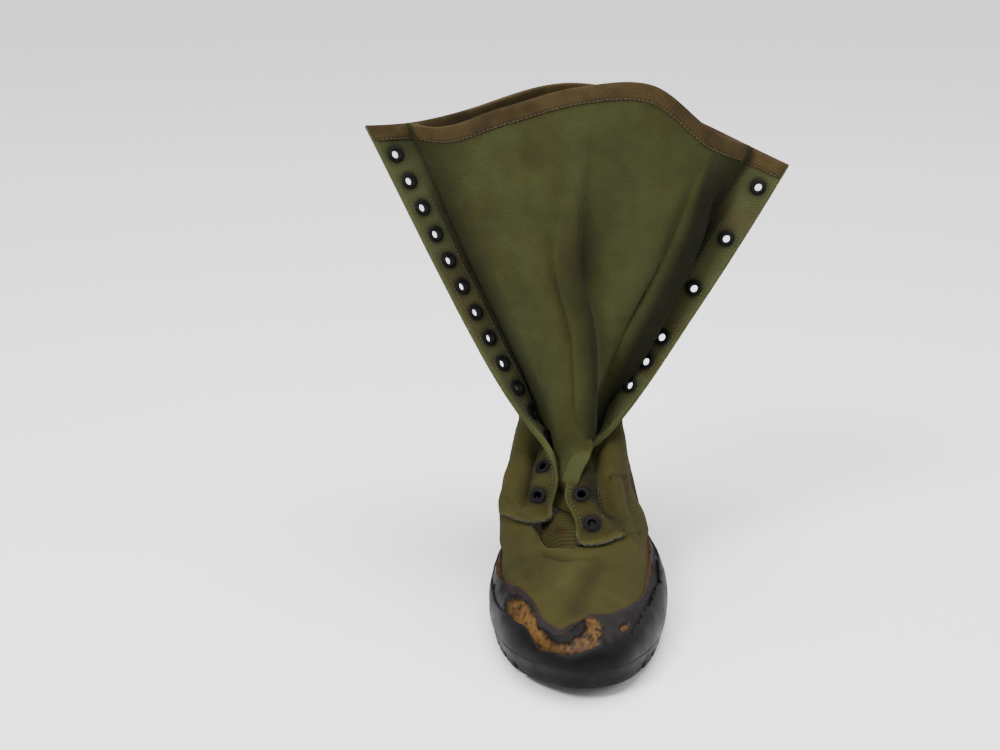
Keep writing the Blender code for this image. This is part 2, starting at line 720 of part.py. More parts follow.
def cap_between(bm, loop, height):
    """Close a loop with rungs from its medial to its lateral side."""
    half = len(loop) // 2
    rungs = []
    for i in range(1, half):
        rung = [loop[i]]
        for k in range(1, CAP_STRIPS):
            place = loop[i].co.lerp(loop[-i].co, k / CAP_STRIPS)
            place.z = float(height(place.y + HEEL_CENTRE))
            rung.append(bm.verts.new(place))
        rungs.append(rung + [loop[-i]])
    for low, high in zip(rungs[:-1], rungs[1:]):
        for k in range(CAP_STRIPS):
            bm.faces.new((low[k], low[k + 1], high[k + 1], high[k]))
    for k in range(CAP_STRIPS):
        bm.faces.new((loop[0], rungs[0][k], rungs[0][k + 1]))
        bm.faces.new((loop[half], rungs[-1][k], rungs[-1][k + 1]))


def rubber_profile(column, places, inner, thickness):
    """Cross-section of a rubber layer over one column of the wall, level with the sole below."""
    faces = []
    for shift in (inner, inner + thickness):
        line = []
        for place in places:
            point, normal = wall_at(column, place)
            if place == 0.0:
                normal = normal * (1.0, 1.0, 0.0)
            line.append(point + normal * shift)
        line[0][2] = sole_top(line[0][1])
        faces.append(line)
    return faces[0] + faces[1][::-1]


def make_foxing(parts, mat):
    """Rubber wall bonded round the upper, from the sole up to the rubber line. It keeps to the
    rows of the canvas mesh, and each column ends at its own height."""
    profiles = []
    for side in SIDES:
        shares = column_shares(side, 0.0)
        rises = hermite(column(RUBBER_LINE, 0), column(RUBBER_LINE, 1 if side == "medial" else 2),
                        shares)
        group = []
        for k, rise in enumerate(rises):
            index = k if side == "medial" else COLUMNS - 1 - k
            top = place_at_rise(index, rise * INSTEP_RISE)
            places = np.where(PLACES < top - RUBBER_TOP_STEP, PLACES, top)[:FOXING_ROWS]
            group.append(rubber_profile(index, places, FOXING_INNER, RUBBER))
        profiles += group if side == "medial" else group[-2:0:-1]
    bm = bmesh.new()
    loops = [[bm.verts.new(world(p)) for p in profile] for profile in profiles]
    join_loops(bm, loops + loops[:1])
    bmesh.ops.triangulate(bm, faces=bm.faces, quad_method="FIXED")
    bmesh.ops.remove_doubles(bm, verts=bm.verts, dist=WELD)
    return add_object("foxing", bm, parts, mat)


def make_toe_bumper(parts, mat):
    """Second rubber layer round the toe, over the foxing's lower edge."""
    around = [index % (COLUMNS - 1) for index in range(BUMPER_COLUMNS, -BUMPER_COLUMNS - 1, -1)]
    inner = FOXING_INNER + RUBBER + GAP
    places = PLACES[:WALL_STEPS]
    bm = bmesh.new()
    loops = []
    for index in around:
        profile = rubber_profile(index, places, inner, BUMPER)
        loops.append([bm.verts.new(world(p)) for p in profile])
    join_loops(bm, loops)
    for loop in (loops[0], loops[-1]):
        for k in range(len(places) - 1):
            bm.faces.new((loop[k], loop[k + 1], loop[-2 - k], loop[-1 - k]))
    return add_object("toe_bumper", bm, parts, mat)


def make_insole(parts, mat):
    """Flat liner that lies on the sole inside the upper."""
    inner = CANVAS / 2 + GAP + EASE
    bm = bmesh.new()
    loops = []
    for lift in (0.0, INSOLE_THICKNESS):
        loop = []
        for index in range(COLUMNS - 1):
            point, normal = wall_at(index, 0.0)
            point = point - normal * (1.0, 1.0, 0.0) * inner
            point[2] = sole_top(point[1]) + lift
            loop.append(bm.verts.new(world(point)))
        loops.append(loop)
    join_loops(bm, loops)
    cap_between(bm, loops[0], sole_top)
    cap_between(bm, loops[1], lambda y: sole_top(y) + INSOLE_THICKNESS)
    return add_object("insole", bm, parts, mat)


def tongue_end(side, place, beyond):
    """Point of the tongue's cloth against the inner face of a quarter, past its facing."""
    step = 1 if side == "medial" else -1
    first = FACING_STEPS if side == "medial" else COLUMNS - 1 - FACING_STEPS
    near, near_normal = wall_at(first, place)
    far, far_normal = wall_at(first + step, place)
    share = beyond / np.linalg.norm(far - near)
    ramp = np.clip((place - TAPE_CLEAR_FROM) / (1 - TAPE_CLEAR_FROM), 0, 1)
    shift = CANVAS / 2 + GAP + EASE + TONGUE_CLOTH / 2 + ramp * 2 * (TAPE_THICKNESS + GAP)
    return near + (far - near) * share - (near_normal + (far_normal - near_normal) * share) * shift


def tongue_surface():
    """Rows of points over the tongue, medial seam to lateral seam, hem to top edge."""
    starts = column(TONGUE_FOOT_ROWS + TONGUE_SHAFT_ROWS, 0)
    table = np.array([foot_points(row[1:]) for row in TONGUE_FOOT_ROWS]
                     + [shaft_points(row[1:]) for row in TONGUE_SHAFT_ROWS])
    rows = []
    for place in PLACES[PLACES >= starts[0]]:
        middle = [[hermite(starts, table[:, k, i], place) for i in range(3)]
                  for k in range(table.shape[1])]
        across = [tongue_end("medial", place, 0.0)] + middle + [tongue_end("lateral", place, 0.0)]
        across = np.array(across)
        length = ring_lengths(across)
        samples = np.linspace(0, length[-1], TONGUE_STEPS + 1)
        curve = np.stack([hermite(length, across[:, i], samples) for i in range(3)], axis=1)
        ends = [tongue_end(side, place, SEAM_MARGIN) for side in SIDES]
        rows.append(np.concatenate((ends[:1], curve, ends[1:])))
    return np.array(rows)


def make_tongue(parts, mat):
    """Folding tongue, one cloth from seam to seam with a pleat down its middle."""
    bm = bmesh.new()
    grid_surface(bm, tongue_surface())
    obj = add_object("tongue", bm, parts, mat, closed=False)
    solidify(obj, TONGUE_CLOTH, 0.0)
    return obj


def fold_over(bm, stations):
    """Folded tape: a channel swept along an edge. Each station holds outer and inner leg points
    and the matching points at the edge, with the cloth's outward normal and upward direction."""
    loops = []
    for edge, below, normal, below_normal, up, half_out, half_in in stations:
        out_near = half_out + GAP
        in_near = half_in + GAP
        loops.append([
            below + below_normal * (out_near + EASE),
            below + below_normal * (out_near + EASE + TAPE_THICKNESS),
            edge + normal * (out_near + TAPE_THICKNESS) + up * (GAP + TAPE_THICKNESS),
            edge - normal * (in_near + TAPE_THICKNESS) + up * (GAP + TAPE_THICKNESS),
            below - below_normal * (in_near + EASE + TAPE_THICKNESS),
            below - below_normal * (in_near + EASE),
            edge - normal * in_near + up * GAP,
            edge + normal * out_near + up * GAP,
        ])
    verts = [[bm.verts.new(world(p)) for p in loop] for loop in loops]
    sides = len(loops[0])
    for a, b in zip(verts[:-1], verts[1:]):
        for k in range(sides):
            m = (k + 1) % sides
            bm.faces.new((a[k], a[m], b[m], b[k]))
    for end in (verts[0], verts[-1]):
        bm.faces.new((end[0], end[1], end[2], end[7]))
        bm.faces.new((end[2], end[3], end[6], end[7]))
        bm.faces.new((end[3], end[4], end[5], end[6]))


def tape_station(edge, normal, under, under_normal, half_out, half_in):
    """One station of a folded tape, its legs lying along the straight cloth below the edge."""
    down = under - edge
    share = TAPE_WIDTH / np.linalg.norm(down)
    below_normal = normal + (under_normal - normal) * share
    below_normal /= np.linalg.norm(below_normal)
    up = -down / np.linalg.norm(down)
    return edge, edge + down * share, normal, below_normal, up, half_out, half_in


def make_collar_tape(parts, mat):
    """Binding folded over the quarters' top edge, corner to corner round the back."""
    stations = [
        tape_station(POINTS[-1, k], NORMALS[-1, k], POINTS[-2, k], NORMALS[-2, k],
                     CANVAS / 2 + QUARTER_STEP, CANVAS / 2)
        for k in range(COLUMNS)
    ]
    bm = bmesh.new()
    fold_over(bm, stations)
    return add_object("collar_tape", bm, parts, mat)


def surface_normals(points):
    """Unit normals of a grid of points, by differences across and up."""
    normals = np.cross(np.gradient(points, axis=1), np.gradient(points, axis=0))
    return normals / np.linalg.norm(normals, axis=2)[:, :, None]


def make_tongue_tape(parts, mat):
    """Binding folded over the tongue's top edge between the two seams."""
    points = tongue_surface()
    normals = surface_normals(points)
    half = TONGUE_CLOTH / 2
    stations = [
        tape_station(points[-1, k], normals[-1, k], points[-2, k], normals[-2, k], half, half)
        for k in range(2, points.shape[1] - 2)
    ]
    bm = bmesh.new()
    fold_over(bm, stations)
    return add_object("tongue_tape", bm, parts, mat)


def build():
    for obj in list(bpy.data.objects):
        bpy.data.objects.remove(obj)
    parts = make_collection("jungle_boot")
    guides = make_collection("cutters")
    canvas = material("olive_canvas", (0.085, 0.090, 0.035), 0.9)
    tongue_cloth = material("tongue_canvas", (0.060, 0.075, 0.030), 0.9)
    rubber = material("black_rubber", (0.016, 0.015, 0.016), 0.5)
    tape = material("tan_tape", (0.16, 0.095, 0.040), 0.9)
    liner = material("insole_canvas", (0.10, 0.09, 0.05), 0.95)
    lacquer = material("black_eyelet", (0.02, 0.02, 0.025), 0.35, 0.8)
    make_outsole(parts, guides, rubber)
    make_upper(parts, guides, canvas)
    make_foxing(parts, rubber)
    make_toe_bumper(parts, rubber)
    make_insole(parts, liner)
    make_tongue(parts, tongue_cloth)
    make_collar_tape(parts, tape)
    make_tongue_tape(parts, tape)
    make_eyelets(parts, lacquer)


build()
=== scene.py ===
"""Looks of the canvas and rubber jungle boot, for the left foot.

Every piece is made from the same named sizes and rings as the solids, on a finer
grid, so it lies where its solid lies. Design points are measured from the toe tip
in metres; the boot's own frame has its origin under the middle of the heel.
"""

import bpy
import numpy as np
from mathutils import Matrix, Vector


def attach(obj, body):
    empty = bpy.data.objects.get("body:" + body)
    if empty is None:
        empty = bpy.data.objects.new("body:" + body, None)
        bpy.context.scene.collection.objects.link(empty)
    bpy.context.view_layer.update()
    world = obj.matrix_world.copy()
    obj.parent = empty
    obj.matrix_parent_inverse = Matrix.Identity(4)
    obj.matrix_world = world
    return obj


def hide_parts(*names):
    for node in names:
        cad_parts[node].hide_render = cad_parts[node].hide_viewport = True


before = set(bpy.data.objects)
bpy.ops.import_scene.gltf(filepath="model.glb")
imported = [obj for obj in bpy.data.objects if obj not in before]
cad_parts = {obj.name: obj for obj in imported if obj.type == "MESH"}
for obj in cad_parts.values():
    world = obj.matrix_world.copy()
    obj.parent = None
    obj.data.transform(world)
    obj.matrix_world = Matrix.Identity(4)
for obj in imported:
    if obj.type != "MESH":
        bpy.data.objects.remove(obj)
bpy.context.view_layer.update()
MM = 0.001

# Overall sizes, as in the solids
LENGTH = 0.300
BALL_WIDTH = 0.108
COLLAR_WIDTH = 0.264
SHAFT_HEIGHT = 0.310
INSTEP_RISE = 0.080
HEEL_HEIGHT = 0.027
FOREPART_HEIGHT = 0.014
TOE_SPRING = 0.008
TREAD_DEPTH = 0.005
LUG_PITCH = 0.0165
LUG_GROOVE = 0.0042
GROOVE_REACH = 0.016
GROOVE_OVERRUN = 0.006
GROOVE_SLANT = 0.42
# Short grooves: from this half width on, their place and length as shares of it, then width as a
# share of a lug groove, depth and shift
SHORT_FROM = 0.012
SHORT_AT = 0.36
SHORT_LENGTH = 0.50
SHORT_WIDTH = 0.7
SHORT_DEPTH = 0.0030
SHORT_SHIFT = 0.004
LUG_ZONES = ((0.10, 0.48), (0.76, 0.94))
CANVAS = 0.0020
QUARTER_STEP = 0.0010
RUBBER = 0.0028
BUMPER = 0.0016
TONGUE_CLOTH = 0.0014
TAPE_WIDTH = 0.0100
TAPE_THICKNESS = 0.0010
GAP = 0.0003
FACING_WIDTH = 0.024
EYELET_INBOARD = 0.0095
EYELET_PITCH = 0.0190
EYELET_TOP = 0.0200
EYELET_RADIUS = 0.0056
EYELET_HOLE = 0.0024
RING_RADIUS = EYELET_RADIUS * 0.9
RING_SIDES = 28
EYELET_PROUD = 0.0009
EYELET_STEPS = {
    "medial": tuple(range(14)),
    "lateral": (0, 2, 4, 6, 7, 8, 12.3, 13.3),
}
SEAM_MARGIN = 0.006
RAW_EDGE = 0.47
TAPE_CLEAR_FROM = 0.94

OUTLINE = (
    # along, medial, lateral
    (0.028, 0.195, 0.190),
    (0.100, 0.352, 0.332),
    (0.200, 0.443, 0.435),
    (0.330, 0.486, 0.505),
    (0.450, 0.455, 0.510),
    (0.580, 0.365, 0.452),
    (0.720, 0.322, 0.380),
    (0.860, 0.306, 0.325),
    (0.962, 0.200, 0.210),
)
TOE_DRIFT = -0.018
HEEL_DRIFT = 0.008
SOLE_TOP = (
    # along, rise
    (0.00, 0.00),
    (0.42, 0.00),
    (0.56, 0.25),
    (0.72, 0.85),
    (0.80, 1.00),
    (1.00, 1.00),
)
TOE_SPRING_END = 0.30
ARCH = (
    # along, lift
    (0.500, 0.00),
    (0.540, 0.38),
    (0.580, 0.74),
    (0.640, 0.97),
    (0.696, 1.00),
    (0.702, 0.00),
)
ARCH_HEIGHT = 0.009
FEATHER_INSET = 0.0050
WALL_RING = (
    # round, inset, medial rise, lateral rise
    (0.00, 0.042, 0.094, 0.094),
    (0.15, 0.042, 0.106, 0.100),
    (0.35, 0.037, 0.150, 0.112),
    (0.60, 0.042, 0.175, 0.162),
    (1.00, 0.046, 0.188, 0.188),
)
SHOULDER_RING = (
    # round, inset, medial rise, lateral rise
    (0.00, 0.130, 0.150, 0.150),
    (0.15, 0.111, 0.188, 0.169),
    (0.35, 0.074, 0.287, 0.188),
    (0.60, 0.074, 0.312, 0.263),
    (1.00, 0.051, 0.312, 0.312),
)
FOOT_RINGS = {
    "vamp": {
        "medial": ((-0.028, 0.167, 0.28), (-0.160, 0.180, 0.29), (-0.380, 0.300, 0.36),
                   (-0.410, 0.520, 0.40), (-0.330, 0.830, 0.42), (0.008, 0.985, 0.44)),
        "lateral": ((-0.028, 0.167, 0.28), (0.120, 0.173, 0.27), (0.350, 0.290, 0.27),
                    (0.425, 0.520, 0.34), (0.345, 0.830, 0.42), (0.008, 0.985, 0.44)),
    },
    "instep": {
        "medial": ((-0.037, 0.293, 0.36), (-0.205, 0.307, 0.42), (-0.430, 0.427, 0.48),
                   (-0.400, 0.600, 0.50), (-0.325, 0.830, 0.55), (0.008, 0.985, 0.58)),
        "lateral": ((-0.037, 0.293, 0.36), (0.150, 0.300, 0.37), (0.365, 0.407, 0.39),
                    (0.405, 0.600, 0.46), (0.335, 0.830, 0.55), (0.008, 0.985, 0.58)),
    },
    "throat": {
        "medial": ((-0.037, 0.373, 0.39), (-0.240, 0.387, 0.50), (-0.440, 0.467, 0.57),
                   (-0.390, 0.650, 0.62), (-0.310, 0.850, 0.72), (0.008, 0.975, 0.76)),
        "lateral": ((-0.037, 0.373, 0.39), (0.165, 0.370, 0.42), (0.345, 0.467, 0.50),
                    (0.380, 0.650, 0.58), (0.315, 0.850, 0.72), (0.008, 0.975, 0.76)),
    },
    "tab": {
        "medial": ((-0.185, 0.447, 0.532), (-0.343, 0.440, 0.596), (-0.426, 0.527, 0.647),
                   (-0.365, 0.680, 0.758), (-0.269, 0.850, 0.931), (0.008, 0.955, 0.998)),
        "lateral": ((0.028, 0.390, 0.456), (0.176, 0.377, 0.495), (0.343, 0.493, 0.595),
                    (0.343, 0.680, 0.733), (0.265, 0.850, 0.931), (0.008, 0.955, 0.998)),
    },
    "fold": {
        "medial": ((-0.074, 0.477, 0.750), (-0.231, 0.463, 0.815), (-0.333, 0.560, 0.909),
                   (-0.324, 0.700, 1.034), (-0.222, 0.853, 1.206), (0.008, 0.935, 1.334)),
        "lateral": ((-0.019, 0.457, 0.717), (0.139, 0.433, 0.785), (0.306, 0.547, 0.890),
                    (0.310, 0.700, 1.009), (0.222, 0.853, 1.206), (0.008, 0.935, 1.334)),
    },
    "twist": {
        "medial": ((-0.120, 0.523, 0.986), (-0.157, 0.570, 0.880), (-0.278, 0.627, 1.057),
                   (-0.350, 0.717, 1.326), (-0.235, 0.857, 1.531), (0.008, 0.925, 1.684)),
        "lateral": ((0.093, 0.533, 0.970), (0.130, 0.577, 0.864), (0.259, 0.633, 1.040),
                    (0.345, 0.717, 1.313), (0.230, 0.857, 1.531), (0.008, 0.925, 1.684)),
    },
}
SHAFT_RINGS = {
    "ankle": {
        "medial": ((-0.144, 0.527, 0.322), (-0.095, 0.570, 0.360), (-0.136, 0.660, 0.406),
                   (-0.172, 0.750, 0.445), (-0.105, 0.873, 0.516), (0.003, 0.920, 0.572)),
        "lateral": ((0.136, 0.557, 0.311), (0.083, 0.600, 0.350), (0.129, 0.673, 0.399),
                    (0.172, 0.750, 0.442), (0.105, 0.873, 0.516), (0.003, 0.920, 0.572)),
    },
    "calf": {
        "medial": ((-0.280, 0.577, 0.545), (-0.205, 0.627, 0.565), (-0.245, 0.703, 0.610),
                   (-0.225, 0.800, 0.665), (-0.122, 0.887, 0.715), (0.003, 0.923, 0.750)),
        "lateral": ((0.270, 0.602, 0.500), (0.188, 0.643, 0.535), (0.240, 0.707, 0.590),
                    (0.225, 0.800, 0.655), (0.122, 0.887, 0.715), (0.003, 0.923, 0.750)),
    },
    "flare": {
        "medial": ((-0.395, 0.620, 0.760), (-0.315, 0.660, 0.765), (-0.290, 0.727, 0.790),
                   (-0.225, 0.807, 0.820), (-0.120, 0.887, 0.860), (0.000, 0.917, 0.885)),
        "lateral": ((0.412, 0.650, 0.690), (0.320, 0.683, 0.720), (0.292, 0.737, 0.760),
                    (0.228, 0.810, 0.805), (0.120, 0.887, 0.860), (0.000, 0.917, 0.885)),
    },
    "collar": {
        "medial": ((-0.492, 0.657, 0.935), (-0.410, 0.683, 0.932), (-0.325, 0.733, 0.940),
                   (-0.220, 0.810, 0.955), (-0.115, 0.883, 0.982), (-0.004, 0.907, 1.000)),
        "lateral": ((0.508, 0.677, 0.845), (0.425, 0.717, 0.877), (0.335, 0.760, 0.915),
                    (0.228, 0.820, 0.953), (0.115, 0.883, 0.985), (-0.004, 0.907, 1.000)),
    },
}
TONGUE_FOOT_ROWS = (
    # place, then (across, along, rise) for medial side, medial front, ridge, dent, fold
    (0.500, (-0.240, 0.467, 0.552), (-0.149, 0.453, 0.491), (-0.066, 0.437, 0.459),
     (0.027, 0.427, 0.448), (0.110, 0.427, 0.486)),
    (0.600, (-0.186, 0.500, 0.745), (-0.110, 0.493, 0.694), (-0.037, 0.483, 0.671),
     (0.037, 0.477, 0.662), (0.110, 0.477, 0.687)),
    (0.680, (-0.147, 0.567, 0.897), (-0.093, 0.533, 0.883), (-0.010, 0.520, 0.887),
     (0.066, 0.530, 0.870), (0.120, 0.560, 0.872)),
)
TONGUE_SHAFT_ROWS = (
    # place, then (across, along, rise) for medial side, medial front, ridge, dent, fold
    (0.760, (-0.072, 0.575, 0.322), (-0.042, 0.520, 0.314), (0.008, 0.497, 0.314),
     (0.038, 0.533, 0.318), (0.064, 0.587, 0.318)),
    (0.840, (-0.136, 0.573, 0.470), (-0.076, 0.533, 0.480), (0.000, 0.513, 0.491),
     (0.038, 0.540, 0.488), (0.121, 0.560, 0.474)),
    (0.920, (-0.227, 0.613, 0.654), (-0.136, 0.560, 0.675), (-0.045, 0.540, 0.682),
     (0.030, 0.580, 0.678), (0.220, 0.593, 0.657)),
    (1.000, (-0.333, 0.653, 0.932), (-0.170, 0.623, 0.979), (0.000, 0.617, 1.023),
     (0.170, 0.623, 1.028), (0.326, 0.643, 0.922)),
)

# Rubber on the canvas. Round: minus for the inner side, plus for the outer side, 0 at the toe and
# 1 at the heel. Rise: millimetres up the wall from the sole.
RUBBER_EDGE = (
    # round, rise
    (-1.00, 45.0), (-0.90, 50.0), (-0.82, 60.0), (-0.76, 65.0), (-0.68, 63.0), (-0.62, 54.0),
    (-0.55, 43.0), (-0.46, 29.0), (-0.388, 23.6), (-0.304, 22.5), (-0.250, 28.2), (-0.204, 33.5),
    (-0.175, 33.8), (-0.146, 32.0), (-0.121, 25.4), (-0.083, 21.3), (-0.050, 21.4), (-0.029, 26.5),
    (0.004, 32.0), (0.033, 37.0), (0.058, 35.8), (0.087, 32.8), (0.150, 28.4), (0.200, 25.2),
    (0.246, 22.5), (0.312, 25.0), (0.375, 26.5), (0.46, 25.0), (0.55, 32.0), (0.62, 42.0),
    (0.70, 50.0), (0.78, 54.0), (0.90, 48.0), (1.00, 45.0),
)
BUMPER_EDGE = (
    # round, rise
    (-1.00, 17.0), (-0.70, 17.0), (-0.50, 16.0), (-0.42, 14.5), (-0.36, 13.0), (-0.30, 12.0),
    (-0.246, 12.0), (-0.212, 13.1), (-0.179, 12.4), (-0.138, 12.0), (-0.104, 8.6), (-0.075, 5.5),
    (-0.050, 5.8), (-0.025, 5.4), (0.008, 7.1), (0.033, 8.7), (0.071, 8.8), (0.121, 10.5),
    (0.171, 12.6), (0.204, 15.2), (0.242, 15.1), (0.283, 16.0), (0.329, 14.8), (0.362, 15.0),
    (0.408, 18.0), (0.44, 17.0), (0.52, 15.0), (0.70, 17.0), (1.00, 17.0),
)
BUMPER_FIRST = -0.38
BUMPER_LAST = 0.43
TORN = (
    # round, rise
    (-0.246, 17.9), (-0.192, 25.3), (-0.154, 25.2), (-0.129, 21.0), (-0.104, 15.0),
    (-0.079, 12.4), (-0.050, 9.6), (-0.025, 10.2), (-0.021, 12.9), (0.004, 17.2), (0.017, 23.4),
    (0.025, 34.0), (0.040, 34.5), (0.058, 27.0), (0.060, 21.2), (0.048, 15.5), (0.035, 7.0),
    (0.008, 5.0), (-0.037, 3.5), (-0.075, 3.0), (-0.104, 6.5), (-0.138, 10.5), (-0.179, 10.5),
    (-0.212, 11.0),
)
TORN_SPOTS = (
    # round, rise, half width round, half height
    (0.121, 15.0, 0.016, 2.6),
    (0.362, 20.0, 0.010, 4.2),
    (-0.330, 15.0, 0.010, 2.0),
)

DENSE = 240
CURVE_STEPS = 30
SIDES = {"medial": -1.0, "lateral": 1.0}
OTHER = {"medial": "lateral", "lateral": "medial"}
HEEL_CENTRE = 0.873 * LENGTH
SHAFT_RISE = SHAFT_HEIGHT - HEEL_HEIGHT
RING_COUNT = 3 + len(FOOT_RINGS) + len(SHAFT_RINGS)
THROAT = 4.0 / (RING_COUNT - 3)
THROAT_OPENING = 0.04
UP = np.array((0.0, 0.0, 1.0))


def column(table, index):
    """One named column of a table."""
    return [row[index] for row in table]


def hermite(xs, ys, x):
    """Smooth curve through the table's points, flat beyond its ends."""
    xs = np.asarray(xs, float)
    ys = np.asarray(ys, float)
    slope = np.gradient(ys, xs)
    x = np.clip(x, xs[0], xs[-1])
    k = np.clip(np.searchsorted(xs, x, side="right") - 1, 0, len(xs) - 2)
    width = xs[k + 1] - xs[k]
    t = (x - xs[k]) / width
    return (
        ys[k] * (1 + 2 * t) * (1 - t) ** 2
        + slope[k] * width * t * (1 - t) ** 2
        + ys[k + 1] * t * t * (3 - 2 * t)
        + slope[k + 1] * width * t * t * (t - 1)
    )


def spline_weights(count, t):
    """Weights of a clamped uniform cubic spline with count control points, at each t in 0..1."""
    t = np.clip(np.atleast_1d(np.asarray(t, float)), 0.0, 1.0 - 1e-9)
    spans = count - 3
    knots = np.concatenate((np.zeros(3), np.linspace(0, 1, spans + 1), np.ones(3)))
    basis = ((t[:, None] >= knots[:-1]) & (t[:, None] < knots[1:])).astype(float)
    for degree in (1, 2, 3):
        lower = knots[degree:-1] - knots[:-degree - 1]
        upper = knots[degree + 1:] - knots[1:-degree]
        rising = np.divide(t[:, None] - knots[:-degree - 1], lower, where=lower > 0,
                           out=np.zeros((len(t), len(lower))))
        falling = np.divide(knots[degree + 1:] - t[:, None], upper, where=upper > 0,
                            out=np.zeros((len(t), len(upper))))
        basis = rising * basis[:, :-1] + falling * basis[:, 1:]
    return basis


def outline_curve(side):
    """Dense plan curve of one side of the sole from the toe's tip to the heel, with the shares
    round it and its outward normals."""
    other = OTHER[side]
    index = {"medial": 1, "lateral": 2}
    sign = SIDES[side]
    points = [(SIDES[other] * OUTLINE[0][index[other]], OUTLINE[0][0]), (TOE_DRIFT, 0.0)]
    points += [(sign * row[index[side]], row[0]) for row in OUTLINE]
    points += [(HEEL_DRIFT, 1.0), (SIDES[other] * OUTLINE[-1][index[other]], OUTLINE[-1][0])]
    p = np.array(points) * (BALL_WIDTH, LENGTH)
    curve = []
    for a, b, c, d in zip(p[:-3], p[1:-2], p[2:-1], p[3:]):
        for t in np.linspace(0, 1, CURVE_STEPS, endpoint=False):
            curve.append(0.5 * (2 * b + (c - a) * t + (2 * a - 5 * b + 4 * c - d) * t ** 2
                                + (3 * b - a - 3 * c + d) * t ** 3))
    curve.append(p[-2])
    curve = np.array(curve)
    tangent = np.gradient(curve, axis=0)
    tangent /= np.linalg.norm(tangent, axis=1)[:, None]
    normal = np.stack((tangent[:, 1], -tangent[:, 0]), axis=1) * sign
    steps = np.linalg.norm(np.diff(curve, axis=0), axis=1)
    along = np.concatenate(([0.0], np.cumsum(steps)))
    return along / along[-1], curve, normal


OUTLINES = {side: outline_curve(side) for side in SIDES}


def outline_point(side, share, inset):
    """Plan points at shares round one side of the sole, moved inward by inset."""
    along, curve, normal = OUTLINES[side]
    x = np.interp(share, along, curve[:, 0]) - inset * np.interp(share, along, normal[:, 0])
    y = np.interp(share, along, curve[:, 1]) - inset * np.interp(share, along, normal[:, 1])
    return x, y


def toe_lift(y):
    """Upward curve of the sole's front, above the plane it stands on."""
    return TOE_SPRING * np.clip(1 - y / (TOE_SPRING_END * LENGTH), 0, 1) ** 1.8


def sole_top(y):
    """Height of the sole's upper face along the boot."""
    rise = hermite(column(SOLE_TOP, 0), column(SOLE_TOP, 1), y / LENGTH)
    return FOREPART_HEIGHT + (HEEL_HEIGHT - FOREPART_HEIGHT) * rise + toe_lift(y)


def outline_ring(side, share, table):
    """A ring of the upper that follows the sole's outline, with its own inset and rise."""
    rounds = column(table, 0)
    inset = BALL_WIDTH * hermite(rounds, column(table, 1), share)
    rise = INSTEP_RISE * hermite(rounds, column(table, 2 if side == "medial" else 3), share)
    x, y = outline_point(side, share, inset)
    return np.stack((x, y, sole_top(y) + rise), axis=1)


def foot_points(shares):
    """Points given in shares of the foot's sizes, their rise counted from the sole's upper face."""
    points = np.array(shares) * (BALL_WIDTH, LENGTH, INSTEP_RISE)
    points[:, 2] += sole_top(points[:, 1])
    return points


def shaft_points(shares):
    """Points given in shares of the shaft's sizes, their rise counted from the heel."""
    return np.array(shares) * (COLLAR_WIDTH, LENGTH, SHAFT_RISE) + (0.0, 0.0, HEEL_HEIGHT)


def all_rings(side):
    """Every ring of one side of the upper, each sampled from its front edge to the back."""
    share = np.linspace(0, 1, DENSE + 1)
    edge = FEATHER_INSET / BALL_WIDTH
    feather = ((0.0, edge, 0.0, 0.0), (1.0, edge, 0.0, 0.0))
    rings = [outline_ring(side, share, table) for table in (feather, WALL_RING, SHOULDER_RING)]
    along = share / 2 if side == "medial" else 1 - share / 2
    for table, points in ((FOOT_RINGS, foot_points), (SHAFT_RINGS, shaft_points)):
        for ring in table.values():
            around = points(ring["medial"] + ring["lateral"][-2::-1])
            rings.append(spline_weights(len(around), along) @ around)
    return np.array(rings)


RINGS = {side: all_rings(side) for side in SIDES}


def pick(at, along, grid):
    """A line's points at distances along it, between the given ones."""
    return np.stack([np.interp(at, along, grid[:, i]) for i in range(3)], axis=-1)


def lengths(grid, axis):
    """Distance along a grid of points in one direction, from its start."""
    steps = np.linalg.norm(np.diff(grid, axis=axis), axis=-1)
    start = np.zeros_like(np.take(steps, [0], axis=axis))
    return np.concatenate((start, np.cumsum(steps, axis=axis)), axis=axis)


def surface(side, places):
    """The upper's middle surface at places among the rings, 0 at the sole and 1 at the collar."""
    places = np.atleast_1d(np.asarray(places, float))
    weights = spline_weights(RING_COUNT, places)
    rows = np.einsum("hk,kni->hni", weights, RINGS[side])
    closed = np.clip((THROAT + THROAT_OPENING - places) / THROAT_OPENING, 0, 1)
    shift = closed[:, None] * (weights @ RINGS[OTHER[side]][:, 0] - rows[:, 0]) / 2
    fade = np.clip(1 - lengths(rows, 1) / FACING_WIDTH, 0, 1) ** 2
    return rows + shift[:, None] * fade[..., None]


def unit(vectors):
    """The vectors, each scaled to a length of 1."""
    return vectors / np.maximum(np.linalg.norm(vectors, axis=-1, keepdims=True), 1e-12)


def grid_normals(points):
    """Outward normals of a grid with rows upward and columns from the inner side to the outer."""
    return unit(np.cross(np.gradient(points, axis=0), np.gradient(points, axis=1)))


def smooth(low, high, x):
    """Soft step from 0 at low to 1 at high."""
    t = np.clip((x - low) / (high - low), 0, 1)
    return t * t * (3 - 2 * t)


def window(x, low, full, fading, gone):
    """0 up to low, 1 from full to fading, and 0 again from gone."""
    return smooth(low, full, x) * (1 - smooth(fading, gone, x))


def bell(x, width):
    """1 at zero, fading out at about a width to each side."""
    return np.exp(-(x / width) ** 2)


